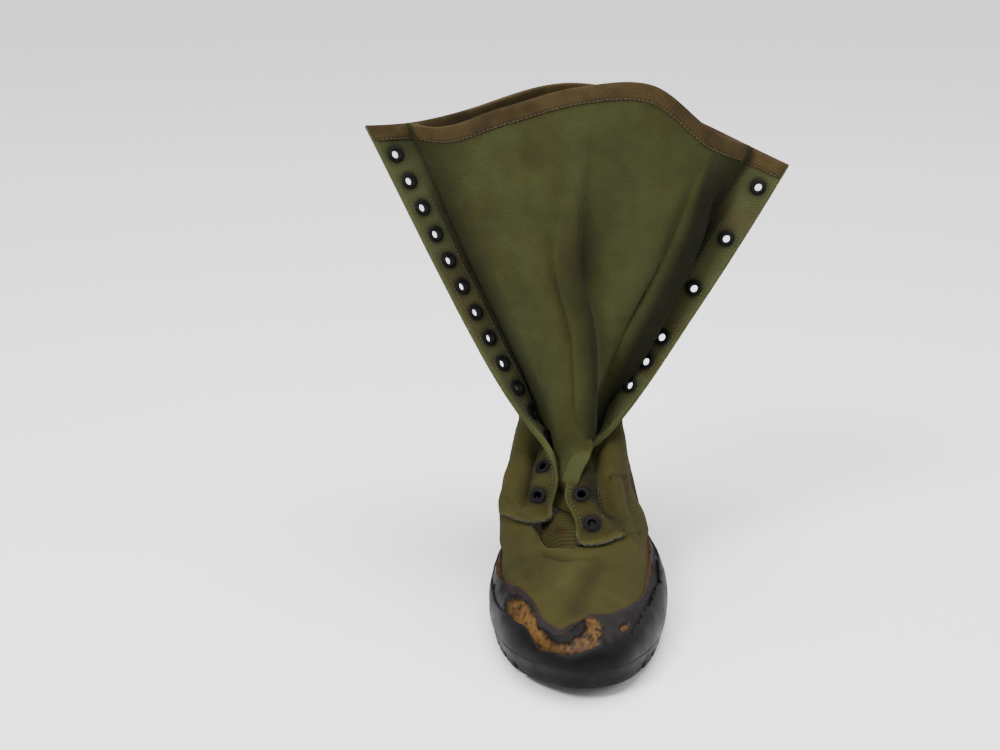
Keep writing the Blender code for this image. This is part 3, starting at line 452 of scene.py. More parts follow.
def value_noise(points, size, seed):
    """Smooth noise in -1..1 at each point, with cells of the given size."""
    p = points / size + seed * 17.31
    cell = np.floor(p).astype(np.int64)
    f = p - cell
    f = f * f * (3 - 2 * f)
    total = np.zeros(points.shape[:-1])
    for corner in np.ndindex(2, 2, 2):
        c = cell + corner
        h = (c[..., 0] * 73856093) ^ (c[..., 1] * 19349663) ^ (c[..., 2] * 83492791) ^ (seed * 7919)
        h = (h ^ (h >> 13)) * 1274126177
        h = (h ^ (h >> 16)) & 0xFFFF
        weight = np.prod(np.where(corner, f, 1 - f), axis=-1)
        total += weight * (h / 32767.5 - 1)
    return total


def noises(points, *layers):
    """Sum of noises, each given as its weight, cell size and seed."""
    return sum(weight * value_noise(points, size, seed) for weight, size, seed in layers)


def line_distance(points, line):
    """Distance from each point to a polyline, both in metres."""
    best = np.full(points.shape[:-1], np.inf)
    for a, b in zip(line[:-1], line[1:]):
        t = np.clip(((points - a) @ (b - a)) / max((b - a) @ (b - a), 1e-12), 0, 1)
        best = np.minimum(best, np.linalg.norm(points - a - t[..., None] * (b - a), axis=-1))
    return best


def inside(polygon, x, y):
    """Whether each point lies in the polygon."""
    hit = np.zeros(np.broadcast(x, y).shape, bool)
    for (x1, y1), (x2, y2) in zip(polygon, polygon[1:] + polygon[:1]):
        crosses = (y1 > y) != (y2 > y)
        at = x1 + (y - y1) / (y2 - y1 if y2 != y1 else 1e-9) * (x2 - x1)
        hit ^= crosses & (x < at)
    return hit


# Creases of the canvas: depth and half width in millimetres (depth below zero is a trough),
# then points in millimetres from the toe tip
CREASES = (
    (-2.8, 6.0, ((13, 92, 42), (5, 71, 40), (-2, 43, 36), (-6, 31, 34))),
    (1.6, 6.0, ((1, 92, 42), (-6, 70, 40), (-12, 45, 36))),
    (-1.8, 3.2, ((-19, 97, 47), (-10, 95, 45), (2, 97, 45), (12, 98, 46))),
    (-1.5, 5.0, ((-35, 113, 50), (-35, 96, 44), (-31, 78, 40))),
    (1.2, 4.5, ((-28, 112, 48), (-28, 95, 44), (-24, 78, 41))),
    (-8.5, 6.0, ((-23, 170, 96), (-27, 156, 84), (-30, 146, 76), (-33, 139, 66))),
    (2.0, 6.0, ((-38, 172, 88), (-42, 156, 74))),
    (-8.0, 5.0, ((14, 161, 92), (15, 148, 80), (17, 136, 71), (19, 129, 62))),
    (2.0, 4.0, ((22, 168, 92), (21, 156, 84), (20, 146, 76))),
    (1.5, 4.2, ((25, 144, 74), (27, 139, 66), (30, 135, 56), (34, 126, 47))),
    (-1.6, 4.0, ((32, 152, 72), (34, 147, 63), (37, 142, 54), (40, 133, 46))),
    (-1.1, 1.0, ((30, 122, 48), (26, 131, 58), (22.6, 135, 67), (21.6, 141, 74), (23, 147, 78))),
    (-6.5, 15.0, ((-36, 228, 94), (-40, 208, 86), (-42, 190, 78))),
    (3.6, 9.0, ((-44, 152, 56), (-44, 140, 48), (-44, 130, 43))),
    (-6.0, 16.0, ((34, 218, 96), (39, 205, 80), (42, 193, 66), (43, 182, 58))),
    (3.4, 8.0, ((45, 158, 46), (46, 150, 42))),
    (-2.2, 7.0, ((36, 185, 104), (42, 205, 92), (40, 228, 84))),
    (2.0, 7.0, ((36, 182, 118), (42, 205, 108), (36, 232, 100))),
    (-2.4, 7.0, ((-36, 188, 106), (-42, 206, 96), (-40, 230, 92))),
    (1.8, 7.0, ((-36, 186, 122), (-42, 208, 112), (-36, 234, 106))),
    (-2.6, 8.0, ((32, 248, 120), (0, 278, 116), (-32, 248, 120))),
    (2.0, 8.0, ((32, 246, 138), (0, 277, 134), (-32, 246, 138))),
    (-2.0, 9.0, ((-46, 222, 158), (-40, 244, 178), (-20, 268, 190))),
    (-2.0, 9.0, ((46, 222, 152), (42, 242, 176), (22, 266, 192))),
    (1.8, 11.0, ((-64, 214, 206), (-52, 236, 178))),
    (-2.2, 12.0, ((-70, 216, 262), (-56, 232, 222), (-46, 240, 190))),
    (1.8, 11.0, ((62, 214, 204), (52, 236, 180))),
    (-2.4, 12.0, ((76, 214, 256), (58, 230, 222), (48, 240, 192))),
    (-1.8, 12.0, ((4, 276, 290), (0, 278, 240), (-6, 278, 205))),
    (1.5, 14.0, ((34, 262, 286), (28, 264, 236))),
)


# Lines of painted shade in the deepest valleys: strength, half width and points in millimetres
VALLEY_SHADE_LINES = (
    (0.80, 4.5, ((-21, 172, 98), (-26, 162, 88), (-29, 150, 78), (-32, 143, 70))),
    (0.85, 4.5, ((12, 158, 90), (12, 146, 82), (14, 136, 73), (18, 129, 64), (22, 127, 58))),
    (0.55, 2.6, ((-19, 97, 47), (-10, 95, 45), (2, 97, 45), (12, 98, 46))),
    (0.35, 5.0, ((13, 92, 42), (5, 71, 40), (-2, 43, 36))),
    (0.35, 3.0, ((22, 146, 76), (21, 138, 68), (24, 130, 58), (28, 124, 50))),
)
# Cloth that leans aside: shift, half width and points in millimetres
LEANS = (
    ((-7.0, 0.0, 0.0), 12.0, ((9, 156, 88), (5, 142, 79), (4, 134, 72))),
)
LEAN_FADE = 0.08
# Unevenness of the cloth: height in millimetres, size and seed of its noise
UNEVENNESS = ((0.45, 0.028, 3), (0.22, 0.011, 5))
# Length of the rubber wall from the toe to the heel, roughly
WALL_LENGTH = 0.34


def valley_shade(points):
    """How far the painted shade in the valleys darkens the cloth, from 0 to 1."""
    total = np.zeros(points.shape[:-1])
    for strength, width, line in VALLEY_SHADE_LINES:
        distance = line_distance(points, np.array(line) * MM)
        total = np.maximum(total, strength * bell(distance, width * MM))
    return total


def lean(points):
    """The outer front edge leans over the throat; the other side stays."""
    outer = (np.arange(points.shape[1]) > HALF) * smooth(
        THROAT, THROAT + LEAN_FADE, TABLE_PLACES)[:, None]
    for shift, width, line in LEANS:
        distance = line_distance(points, np.array(line) * MM)
        amount = outer * bell(distance, width * MM)
        points = points + amount[..., None] * np.array(shift) * MM
    return points


def relief(points, rise_above_rubber):
    """Listed creases and a slight unevenness of the cloth, along the outward normal."""
    total = np.zeros(points.shape[:-1])
    for depth, width, line in CREASES:
        distance = line_distance(points, np.array(line) * MM)
        total += depth * MM * bell(distance, width * MM)
    for depth, size, seed in UNEVENNESS:
        total += depth * MM * value_noise(points, size, seed)
    return total * smooth(0.0, 0.010, rise_above_rubber)


def wall_probe(around, rise=0.0):
    """Flat place of a point of the rubber wall, where its noises are read."""
    return np.stack((around * WALL_LENGTH, rise + 0 * around, 0 * around), axis=-1)


def rubber_edge(around):
    """Rise of the rubber's ragged upper edge, in metres."""
    line = hermite(column(RUBBER_EDGE, 0), column(RUBBER_EDGE, 1), around)
    probe = wall_probe(around)
    return (line + 0.7 * value_noise(probe, 0.006, 11) + 0.35 * value_noise(probe, 0.002, 12)) * MM


# The upper's table of points: its columns on each side, and its rows
FACING_CELLS = 24
SIDE_CELLS = 150
HALF = FACING_CELLS + SIDE_CELLS
TABLE_ROWS = 501
TABLE_PLACES = np.linspace(0, 1, TABLE_ROWS)
# Smoothing across the vamp's middle and of the ridge under the facings: places and columns where
# it works, and rounds
SEAM_FADE = 0.03
SEAM_ROUNDS = 40
RIDGE_TOP = 0.46
RIDGE_FULL = 0.40
RIDGE_CELLS = (6, 66)
RIDGE_ROUNDS = 90


def sample_rows(rows, along, at):
    """Points of each row at its own list of distances along it."""
    return np.stack([pick(a, d, row) for row, d, a in zip(rows, along, at)])


def round_table():
    """The upper's middle surface from the inner front edge round the back to the outer one, with
    each point's distance from its front edge and share round."""
    halves = []
    reach = {}
    for side in SIDES:
        rows = surface(side, TABLE_PLACES)
        along = lengths(rows, 1)
        facing = np.linspace(0, FACING_WIDTH, FACING_CELLS + 1)
        even = np.linspace(0, 1, SIDE_CELLS + 1)[1:]
        at = np.array([
            np.concatenate((facing, FACING_WIDTH + even * (d[-1] - FACING_WIDTH))) for d in along
        ])
        share = np.array([np.interp(a, d, np.linspace(0, 1, DENSE + 1))
                          for a, d in zip(at, along)])
        halves.append((sample_rows(rows, along, at), at, share * SIDES[side]))
        reach[side] = at[:, -1]
    medial, lateral = halves
    joined = [np.concatenate((a, b[:, -2::-1]), axis=1) for a, b in zip(medial, lateral)]
    return (*joined, reach)


def relax(strip, weight, rounds):
    """Evens out each row of a strip where the weight is high; the row's ends stay."""
    for _ in range(rounds):
        middle = (strip[:, :-2] + strip[:, 2:]) / 2 - strip[:, 1:-1]
        strip[:, 1:-1] += 0.5 * weight * middle


def smooth_seam(points):
    """The vamp has no seam down its middle, so rows below the throat run smoothly across it."""
    n = FACING_CELLS
    closed = np.nonzero(TABLE_PLACES <= THROAT)[0]
    strip = np.concatenate((points[closed, -n - 1:-1], points[closed, :n + 1]), axis=1)
    weight = np.sin(np.linspace(0, np.pi, 2 * n + 1))[1:-1] ** 2
    weight = weight * smooth(THROAT, THROAT - SEAM_FADE, TABLE_PLACES[closed])[:, None]
    relax(strip, weight[..., None], SEAM_ROUNDS)
    points[closed, -n - 1:-1] = strip[:, :n]
    points[closed, :n + 1] = strip[:, n:]
    points[closed, -1] = strip[:, n]


def smooth_facing(points):
    """The vamp has no ridge where it passes under the facings."""
    rows = np.nonzero(TABLE_PLACES < RIDGE_TOP)[0]
    fade = smooth(RIDGE_TOP, RIDGE_FULL, TABLE_PLACES[rows])[:, None]
    for cells in (np.arange(*RIDGE_CELLS), 2 * HALF - np.arange(*RIDGE_CELLS)):
        strip = points[np.ix_(rows, cells)]
        weight = (np.sin(np.linspace(0, np.pi, len(cells)))[1:-1] * fade)[..., None]
        relax(strip, weight, RIDGE_ROUNDS)
        points[np.ix_(rows, cells)] = strip


def table_normals(points):
    """Outward normals of the table, the same on both sides of the vamp's middle."""
    normals = grid_normals(points)
    closed = TABLE_PLACES <= THROAT
    both = unit(normals[closed, 0] + normals[closed, -1])
    normals[closed, 0] = both
    normals[closed, -1] = both
    return normals


TABLE, INBOARD, AROUND, REACH = round_table()
smooth_seam(TABLE)
smooth_facing(TABLE)
# Painted shade along the deepest valleys, worked out before the cloth is moved
SHADE = valley_shade(TABLE)
TABLE = lean(TABLE)
RISE = lengths(TABLE, 0)
ABOVE = RISE - rubber_edge(AROUND)
OPEN = (TABLE_PLACES > THROAT)[:, None]
# Creases fade out at the open front edges, and to a quarter at the collar
FADE = smooth(0.0, 0.006, np.where(OPEN, INBOARD, 1.0)) * (
    0.25 + 0.75 * smooth(0.0, 0.03, (1 - TABLE_PLACES)[:, None] * 0.33))
TABLE = TABLE + table_normals(TABLE) * (relief(TABLE, ABOVE) * FADE)[..., None]
NORMALS = table_normals(TABLE)


def look(grid, places, cells):
    """Value of a table between its rows and columns."""
    r = np.clip(np.asarray(places) * (TABLE_ROWS - 1), 0, TABLE_ROWS - 1.001)
    c = np.clip(cells, 0, 2 * HALF - 0.001)
    r, c = np.broadcast_arrays(r, c)
    i, j = r.astype(int), c.astype(int)
    fr, fc = r - i, c - j
    if grid.ndim == 3:
        fr, fc = fr[..., None], fc[..., None]
    return ((grid[i, j] * (1 - fc) + grid[i, j + 1] * fc) * (1 - fr)
            + (grid[i + 1, j] * (1 - fc) + grid[i + 1, j + 1] * fc) * fr)


def cloth_at(places, cells):
    """Points of the upper's middle surface and its outward normals there."""
    return look(TABLE, places, cells), unit(look(NORMALS, places, cells))


def cell_at(side, places, inboard):
    """Column of the table at a distance from one front edge."""
    reach = np.interp(places, TABLE_PLACES, REACH[side])
    beyond = (inboard - FACING_WIDTH) / (reach - FACING_WIDTH)
    cell = np.where(inboard <= FACING_WIDTH, inboard / FACING_WIDTH * FACING_CELLS,
                    FACING_CELLS + beyond * SIDE_CELLS)
    return cell if side == "medial" else 2 * HALF - cell


# Columns of the canvas pieces, finer near the front edges
NEAR_CELLS = np.concatenate((
    np.linspace(0, FACING_CELLS, 21), np.linspace(FACING_CELLS, 54, 31)[1:],
    np.linspace(54, HALF, 45)[1:],
))
CELLS = np.concatenate((NEAR_CELLS, 2 * HALF - NEAR_CELLS[-2::-1]))
MEDIAL_CELLS = CELLS <= HALF
PART_OF = {"medial": MEDIAL_CELLS, "lateral": ~MEDIAL_CELLS}

# Lower edge of each quarter: raw over the vamp, then fading out under the rubber
RAW_LINE = {
    # millimetres in from the front edge, place
    "medial": ((0.0, 0.500), (1.5, 0.488), (3.0, 0.481), (5.5, 0.474), (9.2, 0.460),
               (20.4, 0.430), (31.8, 0.400), (43.0, 0.370), (60.0, 0.330), (80.0, 0.293),
               (110.0, 0.240), (200.0, 0.160)),
    "lateral": ((0.0, 0.480), (1.0, 0.466), (1.9, 0.457), (5.0, 0.420), (9.6, 0.393),
                (15.7, 0.380), (23.3, 0.367), (32.6, 0.357), (45.3, 0.337), (60.0, 0.300),
                (90.0, 0.240), (200.0, 0.160)),
}
RAW_REACH = {"medial": 0.076, "lateral": 0.0455}
RAW_GUESS = 0.45
RAW_ROUNDS = 8
# Round opening of the vamp at the throat
THROAT_LINE = (
    # millimetres from the middle, minus for the inner side, then place
    (-24.5, 0.440), (-23.0, 0.392), (-21.0, 0.362), (-18.5, 0.346), (-15.5, 0.345),
    (-12.5, 0.353), (-8.7, 0.367), (-4.6, 0.377), (0.0, 0.388), (5.7, 0.398), (9.4, 0.392),
    (13.1, 0.383), (17.0, 0.383), (19.0, 0.400), (21.0, 0.460), (24.0, 0.550),
)
OVERLAP = 0.008
VAMP_ROWS = 64
# Place from which the quarters' rows are evenly apart and no longer follow the raw edge
EVEN_FROM = 0.62
# Rows are spaced by the length up the front edge plus this share of the length up the back
BACK_WEIGHT = 0.6


def raw_places():
    """Place of the quarters' lower edge in each column. The distance from the front edge depends
    on the place itself, so the two are worked out in turns."""
    places = np.full(len(CELLS), RAW_GUESS)
    for _ in range(RAW_ROUNDS):
        inboard = look(INBOARD, places, CELLS) / MM
        for side, part in PART_OF.items():
            line = RAW_LINE[side]
            places[part] = np.interp(inboard[part], column(line, 0), column(line, 1))
    return places


RAW_PLACES = raw_places()


def to_frame(points):
    """Design points as places in the boot's own frame."""
    return points - (0.0, HEEL_CENTRE, 0.0)


def new_mesh(name, verts, faces):
    """New mesh from vertices and faces."""
    mesh = bpy.data.meshes.new(name)
    mesh.from_pydata(np.asarray(verts).tolist(), [], faces)
    return mesh


def add(name, data):
    """New object in the scene."""
    obj = bpy.data.objects.new(name, data)
    bpy.context.scene.collection.objects.link(obj)
    return obj


def paint_on(mesh, colours):
    """One colour a vertex, in the attribute that the materials read."""
    values = np.ones((len(colours), 4), np.float32)
    values[:, :3] = colours
    layer = mesh.color_attributes.new("paint", "FLOAT_COLOR", "POINT")
    layer.data.foreach_set("color", values.ravel())


def finish_piece(obj, slot, *nodes):
    """Every piece rides on the boot's one body and stands for its nodes; its slot is not used."""
    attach(obj, "root")
    if nodes:
        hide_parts(*nodes)


def new_object(name, verts, faces, mat, slot, nodes=(), corners=None, uv=None, paint=None):
    """A finished piece with smooth faces; uv is looked up by grid corner and paint by vertex."""
    used, index = np.unique(np.concatenate([f.ravel() for f in faces]), return_inverse=True)
    cuts = np.cumsum([block.size for block in faces])[:-1]
    polygons = [polygon for block, part in zip(faces, np.split(index, cuts))
                for polygon in part.reshape(block.shape).tolist()]
    mesh = new_mesh(name, to_frame(verts[used]), polygons)
    if uv is not None:
        order = np.concatenate([c.ravel() for c in corners])
        layer = mesh.uv_layers.new(name="UVMap")
        layer.data.foreach_set("uv", uv[order].astype(np.float32).ravel())
    if paint is not None:
        paint_on(mesh, paint[used])
    mesh.shade_smooth()
    mesh.materials.append(mat)
    finish_piece(add(name, mesh), slot, *nodes)


def shell(name, outer, inner, mat, paint, slot, *nodes, lining=None, keep=None, uv=None,
          weld=False, closed=False):
    """Closed body between two grids of points, without the cells that keep leaves out. weld makes
    the last column the first one again; closed joins the last column to the first."""
    rows, cols = outer.shape[:2]
    count = rows * cols
    grid = np.arange(count).reshape(rows, cols)
    ids = grid.copy()
    if weld:
        ids[:, -1] = ids[:, 0]
    if closed:
        grid = np.concatenate((grid, grid[:, :1]), axis=1)
        ids = np.concatenate((ids, ids[:, :1]), axis=1)
    if keep is None:
        keep = np.ones((grid.shape[0] - 1, grid.shape[1] - 1), bool)
    r, c = np.nonzero(keep)
    top, corners = (np.stack((a[r, c], a[r + 1, c], a[r + 1, c + 1], a[r, c + 1]), axis=1)
                    for a in (ids, grid))
    edges, edge_corners = (np.concatenate([quads[:, [k, (k + 1) % 4]] for k in range(4)])
                           for quads in (top, corners))
    _, index, uses = np.unique(np.sort(edges, axis=1), axis=0, return_inverse=True,
                               return_counts=True)
    rim = (uses[index.ravel()] == 1) & (edges[:, 0] != edges[:, 1])
    faces, wall = ([quads, quads[:, ::-1] + count, np.stack((b, a, a + count, b + count), axis=1)]
                   for quads, (a, b) in ((top, edges[rim].T), (corners, edge_corners[rim].T)))
    lining = paint if lining is None else lining
    both = [grid.reshape(-1, 3) for grid in (outer, inner, paint, lining)]
    if uv is not None:
        uv = np.tile(uv.reshape(-1, 2), (2, 1))
    new_object(name, np.concatenate(both[:2]), faces, mat, slot, nodes, wall, uv,
               np.concatenate(both[2:]))


def mix(a, b, amount):
    """Blend of two colours or grids of colours."""
    return np.asarray(a) + (np.asarray(b) - np.asarray(a)) * np.asarray(amount)[..., None]


# ---- materials

WAVE_PER_THREAD = 0.314


class Shader:
    """A Principled material with short calls for its nodes."""

    def __init__(self, name, **values):
        self.mat = bpy.data.materials.new(name)
        self.mat.use_nodes = True
        self.tree = self.mat.node_tree
        self.bsdf = self.tree.nodes["Principled BSDF"]
        for key, value in values.items():
            self.bsdf.inputs[key.replace("_", " ")].default_value = value

    def put(self, socket, value):
        """A link where the value is another node's output, and a plain value otherwise."""
        if isinstance(value, bpy.types.NodeSocket):
            self.tree.links.new(value, socket)
        else:
            socket.default_value = value

    def node(self, kind, inputs=(), **settings):
        """New node with its settings and inputs."""
        node = self.tree.nodes.new(kind)
        for key, value in settings.items():
            setattr(node, key, value)
        for key, value in dict(inputs).items():
            self.put(node.inputs[key], value)
        return node

    def coords(self, name):
        """A set of texture coordinates."""
        return self.node("ShaderNodeTexCoord").outputs[name]

    def paint(self):
        """The piece's painted vertex colour, its painted shade and highlights included."""
        return self.node("ShaderNodeAttribute", attribute_name="paint").outputs["Color"]

    def noise(self, vector, scale, detail=3.0, roughness=0.55):
        """Noise around 0.5."""
        return self.node("ShaderNodeTexNoise", {
            "Vector": vector, "Scale": scale, "Detail": detail, "Roughness": roughness,
        }).outputs["Fac"]

    def wave(self, vector, scale, distortion, bands):
        """Bands from 0 to 1, as of threads side by side."""
        return self.node("ShaderNodeTexWave", {
            "Vector": vector, "Scale": scale, "Distortion": distortion,
        }, bands_direction=bands).outputs["Fac"]

    def math(self, operation, a, b):
        """One sum or product of two values."""
        return self.node("ShaderNodeMath", {0: a, 1: b}, operation=operation).outputs[0]

    def span(self, value, low, high, out_low, out_high):
        """The value's range brought to another range."""
        return self.node("ShaderNodeMapRange", {
            "Value": value, "From Min": low, "From Max": high, "To Min": out_low,
            "To Max": out_high,
        }).outputs[0]

    def ramp(self, value, dark, light, dark_at=0.0, light_at=1.0):
        """Blend from a dark colour to a light one."""
        node = self.node("ShaderNodeValToRGB", {"Fac": value})
        low, high = node.color_ramp.elements
        low.position, low.color = dark_at, (*dark, 1)
        high.position, high.color = light_at, (*light, 1)
        return node.outputs[0]

    def scaled(self, colour, factor):
        """Colour multiplied by a grey factor."""
        grey = self.node("ShaderNodeCombineColor", {0: factor, 1: factor, 2: factor}).outputs[0]
        return self.node("ShaderNodeMix", {0: 1.0, 6: colour, 7: grey},
                         data_type="RGBA", blend_type="MULTIPLY").outputs[2]

    def bump(self, height, distance, strength):
        """Fine relief on the surface."""
        out = self.node("ShaderNodeBump", {
            "Height": height, "Distance": distance, "Strength": strength,
        }).outputs[0]
        self.tree.links.new(out, self.bsdf.inputs["Normal"])

    def base(self, colour):
        """The surface's colour."""
        self.put(self.bsdf.inputs["Base Color"], colour)


def cloth(name, thread, lines=0.0):
    """Woven cotton: crossed threads by the cloth's own coordinates, over blotches and fine nap."""
    s = Shader(name, Roughness=0.95, Sheen_Weight=0.01, Sheen_Roughness=0.6,
               Specular_IOR_Level=0.08)
    uv, place = s.coords("UV"), s.coords("Object")
    scale = WAVE_PER_THREAD / thread
    warp = s.wave(uv, scale, 0.4, "DIAGONAL")
    weft = s.wave(uv, scale * 0.8, 0.3, "Y")
    weave = s.math("ADD", s.math("MULTIPLY", warp, 0.65), s.math("MULTIPLY", weft, 0.35))
    nap = s.noise(place, 1500.0, 2.0)
    blotch = s.noise(place, 38.0, 6.0, 0.62)
    tone = s.math("MULTIPLY", s.span(blotch, 0.3, 0.7, 0.86, 1.12),
                  s.span(nap, 0.3, 0.7, 0.90, 1.10))
    tone = s.math("MULTIPLY", tone, s.span(weave, 0.0, 1.0, 0.92 - lines, 1.06 + lines))
    s.base(s.scaled(s.paint(), tone))
    s.bump(s.math("ADD", weave, s.math("MULTIPLY", nap, 0.6)), 0.00022, 0.75)
    return s.mat


def rubber(name, roughness, polish):
    """Aged rubber: dull and mottled, with fine pits and scuffs."""
    s = Shader(name, Roughness=roughness, Specular_IOR_Level=polish)
    place = s.coords("Object")
    mottle = s.noise(place, 60.0, 6.0, 0.6)
    pits = s.noise(place, 1100.0, 3.0)
    s.base(s.scaled(s.paint(), s.span(mottle, 0.3, 0.7, 0.70, 1.35)))
    s.put(s.bsdf.inputs["Roughness"],
          s.span(mottle, 0.3, 0.7, roughness - 0.10, roughness + 0.16))
    s.bump(s.math("ADD", s.math("MULTIPLY", mottle, 1.2), s.math("MULTIPLY", pits, 0.35)),
           0.0005, 0.55)
    return s.mat


def lacquer():
    """Black lacquer on a pressed ring, worn grey on the rim."""
    s = Shader("lacquered_metal", Roughness=0.65, Specular_IOR_Level=0.10)
    wear = s.noise(s.coords("Object"), 420.0, 5.0, 0.7)
    s.base(s.ramp(wear, (0.0015, 0.0015, 0.0018), (0.008, 0.0085, 0.010), 0.50, 0.78))
    s.bump(wear, 0.0002, 0.4)
    return s.mat


def thread_material(name, colour):
    """Sewing thread, a little fuzzy."""
    s = Shader(name, Roughness=0.85, Sheen_Weight=0.1)
    fuzz = s.noise(s.coords("Object"), 900.0, 3.0)
    s.base(s.ramp(fuzz, [c * 0.65 for c in colour], [c * 1.2 for c in colour], 0.3, 0.7))
    s.bump(fuzz, 0.0002, 0.6)
    return s.mat


CANVAS_CLOTH = cloth("olive_canvas_weave", 0.0011)
TONGUE_WEAVE = cloth("tongue_canvas_weave", 0.0010, lines=0.03)
TAPE_WEAVE = cloth("binding_tape_weave", 0.0013, lines=0.04)
RUBBER_WALL = rubber("aged_rubber", 0.50, 0.10)
RUBBER_SOLE = rubber("sole_rubber", 0.58, 0.12)
LACQUER = lacquer()
THREAD = thread_material("olive_thread", (0.028, 0.028, 0.012))
TAPE_THREAD = thread_material("tan_thread", (0.045, 0.031, 0.014))

VAMP_OLIVE = np.array((0.0285, 0.0262, 0.0070))
SHAFT_GREEN = np.array((0.0370, 0.0415, 0.0140))
INNER_GREEN = np.array((0.0400, 0.0425, 0.0180))
BROWN = np.array((0.048, 0.020, 0.007))
# Dark grime colour, also used for painted shade in valleys, behind the facings and on the tongue
DIRT_AND_SHADE = np.array((0.0045, 0.0040, 0.0022))
SLATE = np.array((0.0100, 0.0085, 0.0085))
BLACK = np.array((0.0011, 0.0009, 0.0009))
OCHRE = np.array((0.070, 0.036, 0.009))
RUST = np.array((0.036, 0.014, 0.005))
TAN = np.array((0.038, 0.0265, 0.0100))
TAN_DARK = np.array((0.022, 0.0145, 0.006))


# ---- eyelets

def eyelet_places(side):
    """Place among the rings of each eyelet on one side, from the collar down."""
    heights = np.linspace(THROAT, 1, DENSE + 1)
    edge = lengths(surface(side, heights)[:, 0], 0)
    return [float(np.interp(edge[-1] - EYELET_TOP - EYELET_PITCH * step, edge, heights))
            for step in EYELET_STEPS[side]]


def seat(side, place):
    """Centre and outward direction of the facing at an eyelet."""
    point, normal = cloth_at(place, cell_at(side, place, EYELET_INBOARD))
    return point + normal * QUARTER_STEP / 2, normal


SEATS = {
    f"eyelet_{side}_{k:02d}": seat(side, place)
    for side in SIDES for k, place in enumerate(eyelet_places(side), start=1)
}


def lathe(profile, sides):
    """Vertices and faces of a ring turned from a closed profile of radius and height."""
    angle = np.linspace(0, 2 * np.pi, sides, endpoint=False)
    radius, height = np.array(profile).T
    verts = np.stack((
        radius[:, None] * np.cos(angle), radius[:, None] * np.sin(angle),
        np.repeat(height[:, None], sides, axis=1),
    ), axis=-1).reshape(-1, 3)
    ids = np.arange(len(verts)).reshape(len(radius), sides)
    after = np.roll(ids, -1, axis=0)
    faces = np.stack((ids, np.roll(ids, -1, axis=1), np.roll(after, -1, axis=1), after), axis=-1)
    return verts, faces.reshape(-1, 4)


def make_eyelets():
    """Pressed rings with a rolled inner lip and a low flange on each face."""
    half = (CANVAS + QUARTER_STEP) / 2 + 0.0002
    top = half + EYELET_PROUD * 0.8
    h, r = EYELET_HOLE, RING_RADIUS
    profile = (
        (h, -top * 0.5), (h, top * 0.4), (h * 1.06, top * 0.80), (h * 1.22, top * 0.97),
        (h * 1.42, top), (h * 1.62, top * 0.93), (r * 0.80, half + GAP * 1.8),
        (r * 0.96, half + GAP * 1.3), (r, half + GAP * 0.7), (r * 0.98, half),
        (h * 1.35, half * 0.9), (h * 1.35, -half * 0.9), (r * 0.96, -half), (r, -half - GAP),
        (r * 0.95, -half - GAP * 2), (r * 0.75, -top * 0.95), (h * 1.45, -top),
        (h * 1.15, -top * 0.88),
    )
    verts, faces = lathe(profile, RING_SIDES)
    mesh = new_mesh("eyelet_ring", verts, faces[:, ::-1].tolist())
    mesh.shade_smooth()
    mesh.materials.append(LACQUER)
    for name, (centre, normal) in SEATS.items():
        ring = add(name + "_ring", mesh)
        turn = Vector(normal.tolist()).to_track_quat("Z", "Y").to_matrix().to_4x4()
        ring.matrix_world = Matrix.Translation(Vector(to_frame(centre).tolist())) @ turn
        finish_piece(ring, "black_eyelet", name)


# ---- vamp and quarters

# The lining's colours are worked out this far off, and this much further from the rubber
LINING_SHIFT = 0.05
LINING_CLEAR = 0.02
# Seam across the outer side, in millimetres
SIDE_SEAM = ((30.2, 122.6, 48.5), (26.0, 130.9, 57.5), (22.6, 135.0, 67.2), (21.6, 141.1, 74.1),
             (22.8, 146.7, 77.9), (27.3, 150.8, 76.8), (32.9, 160.0, 73.4))


def near_eyelets(points):
    """Distance from each point to the closest eyelet."""
    best = np.full(points.shape[:-1], np.inf)
    for centre, _ in SEATS.values():
        best = np.minimum(best, np.linalg.norm(points - centre, axis=-1))
    return best


def halo(points, width):
    """Soiling round the eyelets, from 0 to 1."""
    return np.exp(-np.clip(near_eyelets(points) - RING_RADIUS, 0, None) / width)


def canvas_paint(points, places, cells, lining=False):
    """Colours of the canvas: yellower over the foot, greener up the shaft, brown by the rubber.
    The lining reads its noises elsewhere, and has none of the valleys' painted shade."""
    above, around = look(ABOVE, places, cells), look(AROUND, places, cells)
    shade = look(SHADE, places, cells)
    if lining:
        points, above, shade = points + LINING_SHIFT, above + LINING_CLEAR, 0 * shade
    z = points[..., 2]
    blotch = noises(points, (0.6, 0.022, 21), (0.4, 0.008, 22))
    colour = mix(VAMP_OLIVE, SHAFT_GREEN, smooth(0.085, 0.150, z + 0.018 * blotch))
    if lining:
        colour = mix(colour, INNER_GREEN, 0.65)
    outer_side = smooth(0.22, 0.32, around)
    close = np.clip(above, 0, None)
    stain = np.exp(-close / (0.0016 + 0.0040 * outer_side)) * (0.75 + 0.45 * blotch)
    wide = np.exp(-close / 0.014) * smooth(-0.3, 0.5, blotch) * (0.25 + 0.75 * outer_side)
    colour = mix(colour, BROWN, np.clip(0.85 * stain + 0.45 * wide, 0, 0.9))
    rust = smooth(0.25, 0.75, noises(points, (1.0, 0.030, 31), (0.35, 0.009, 32)))
    colour = mix(colour, BROWN * 0.75, rust * 0.30 * smooth(0.050, 0.080, z))
    grime = smooth(0.35, 0.9, value_noise(points, 0.040, 41) + 0.3 * blotch)
    seam = line_distance(points, np.array(SIDE_SEAM) * MM)
    # Grime at random, soiling round the eyelets, painted shade in the valleys, and the dark side
    # seam
    for amount in (grime * 0.35, halo(points, 0.0020) * 0.8, shade, 0.75 * bell(seam, 0.0009)):
        colour = mix(colour, DIRT_AND_SHADE, amount)
    wear = 1 + noises(points, (0.10, 0.013, 51), (0.06, 0.004, 52))
    return colour * wear[..., None]


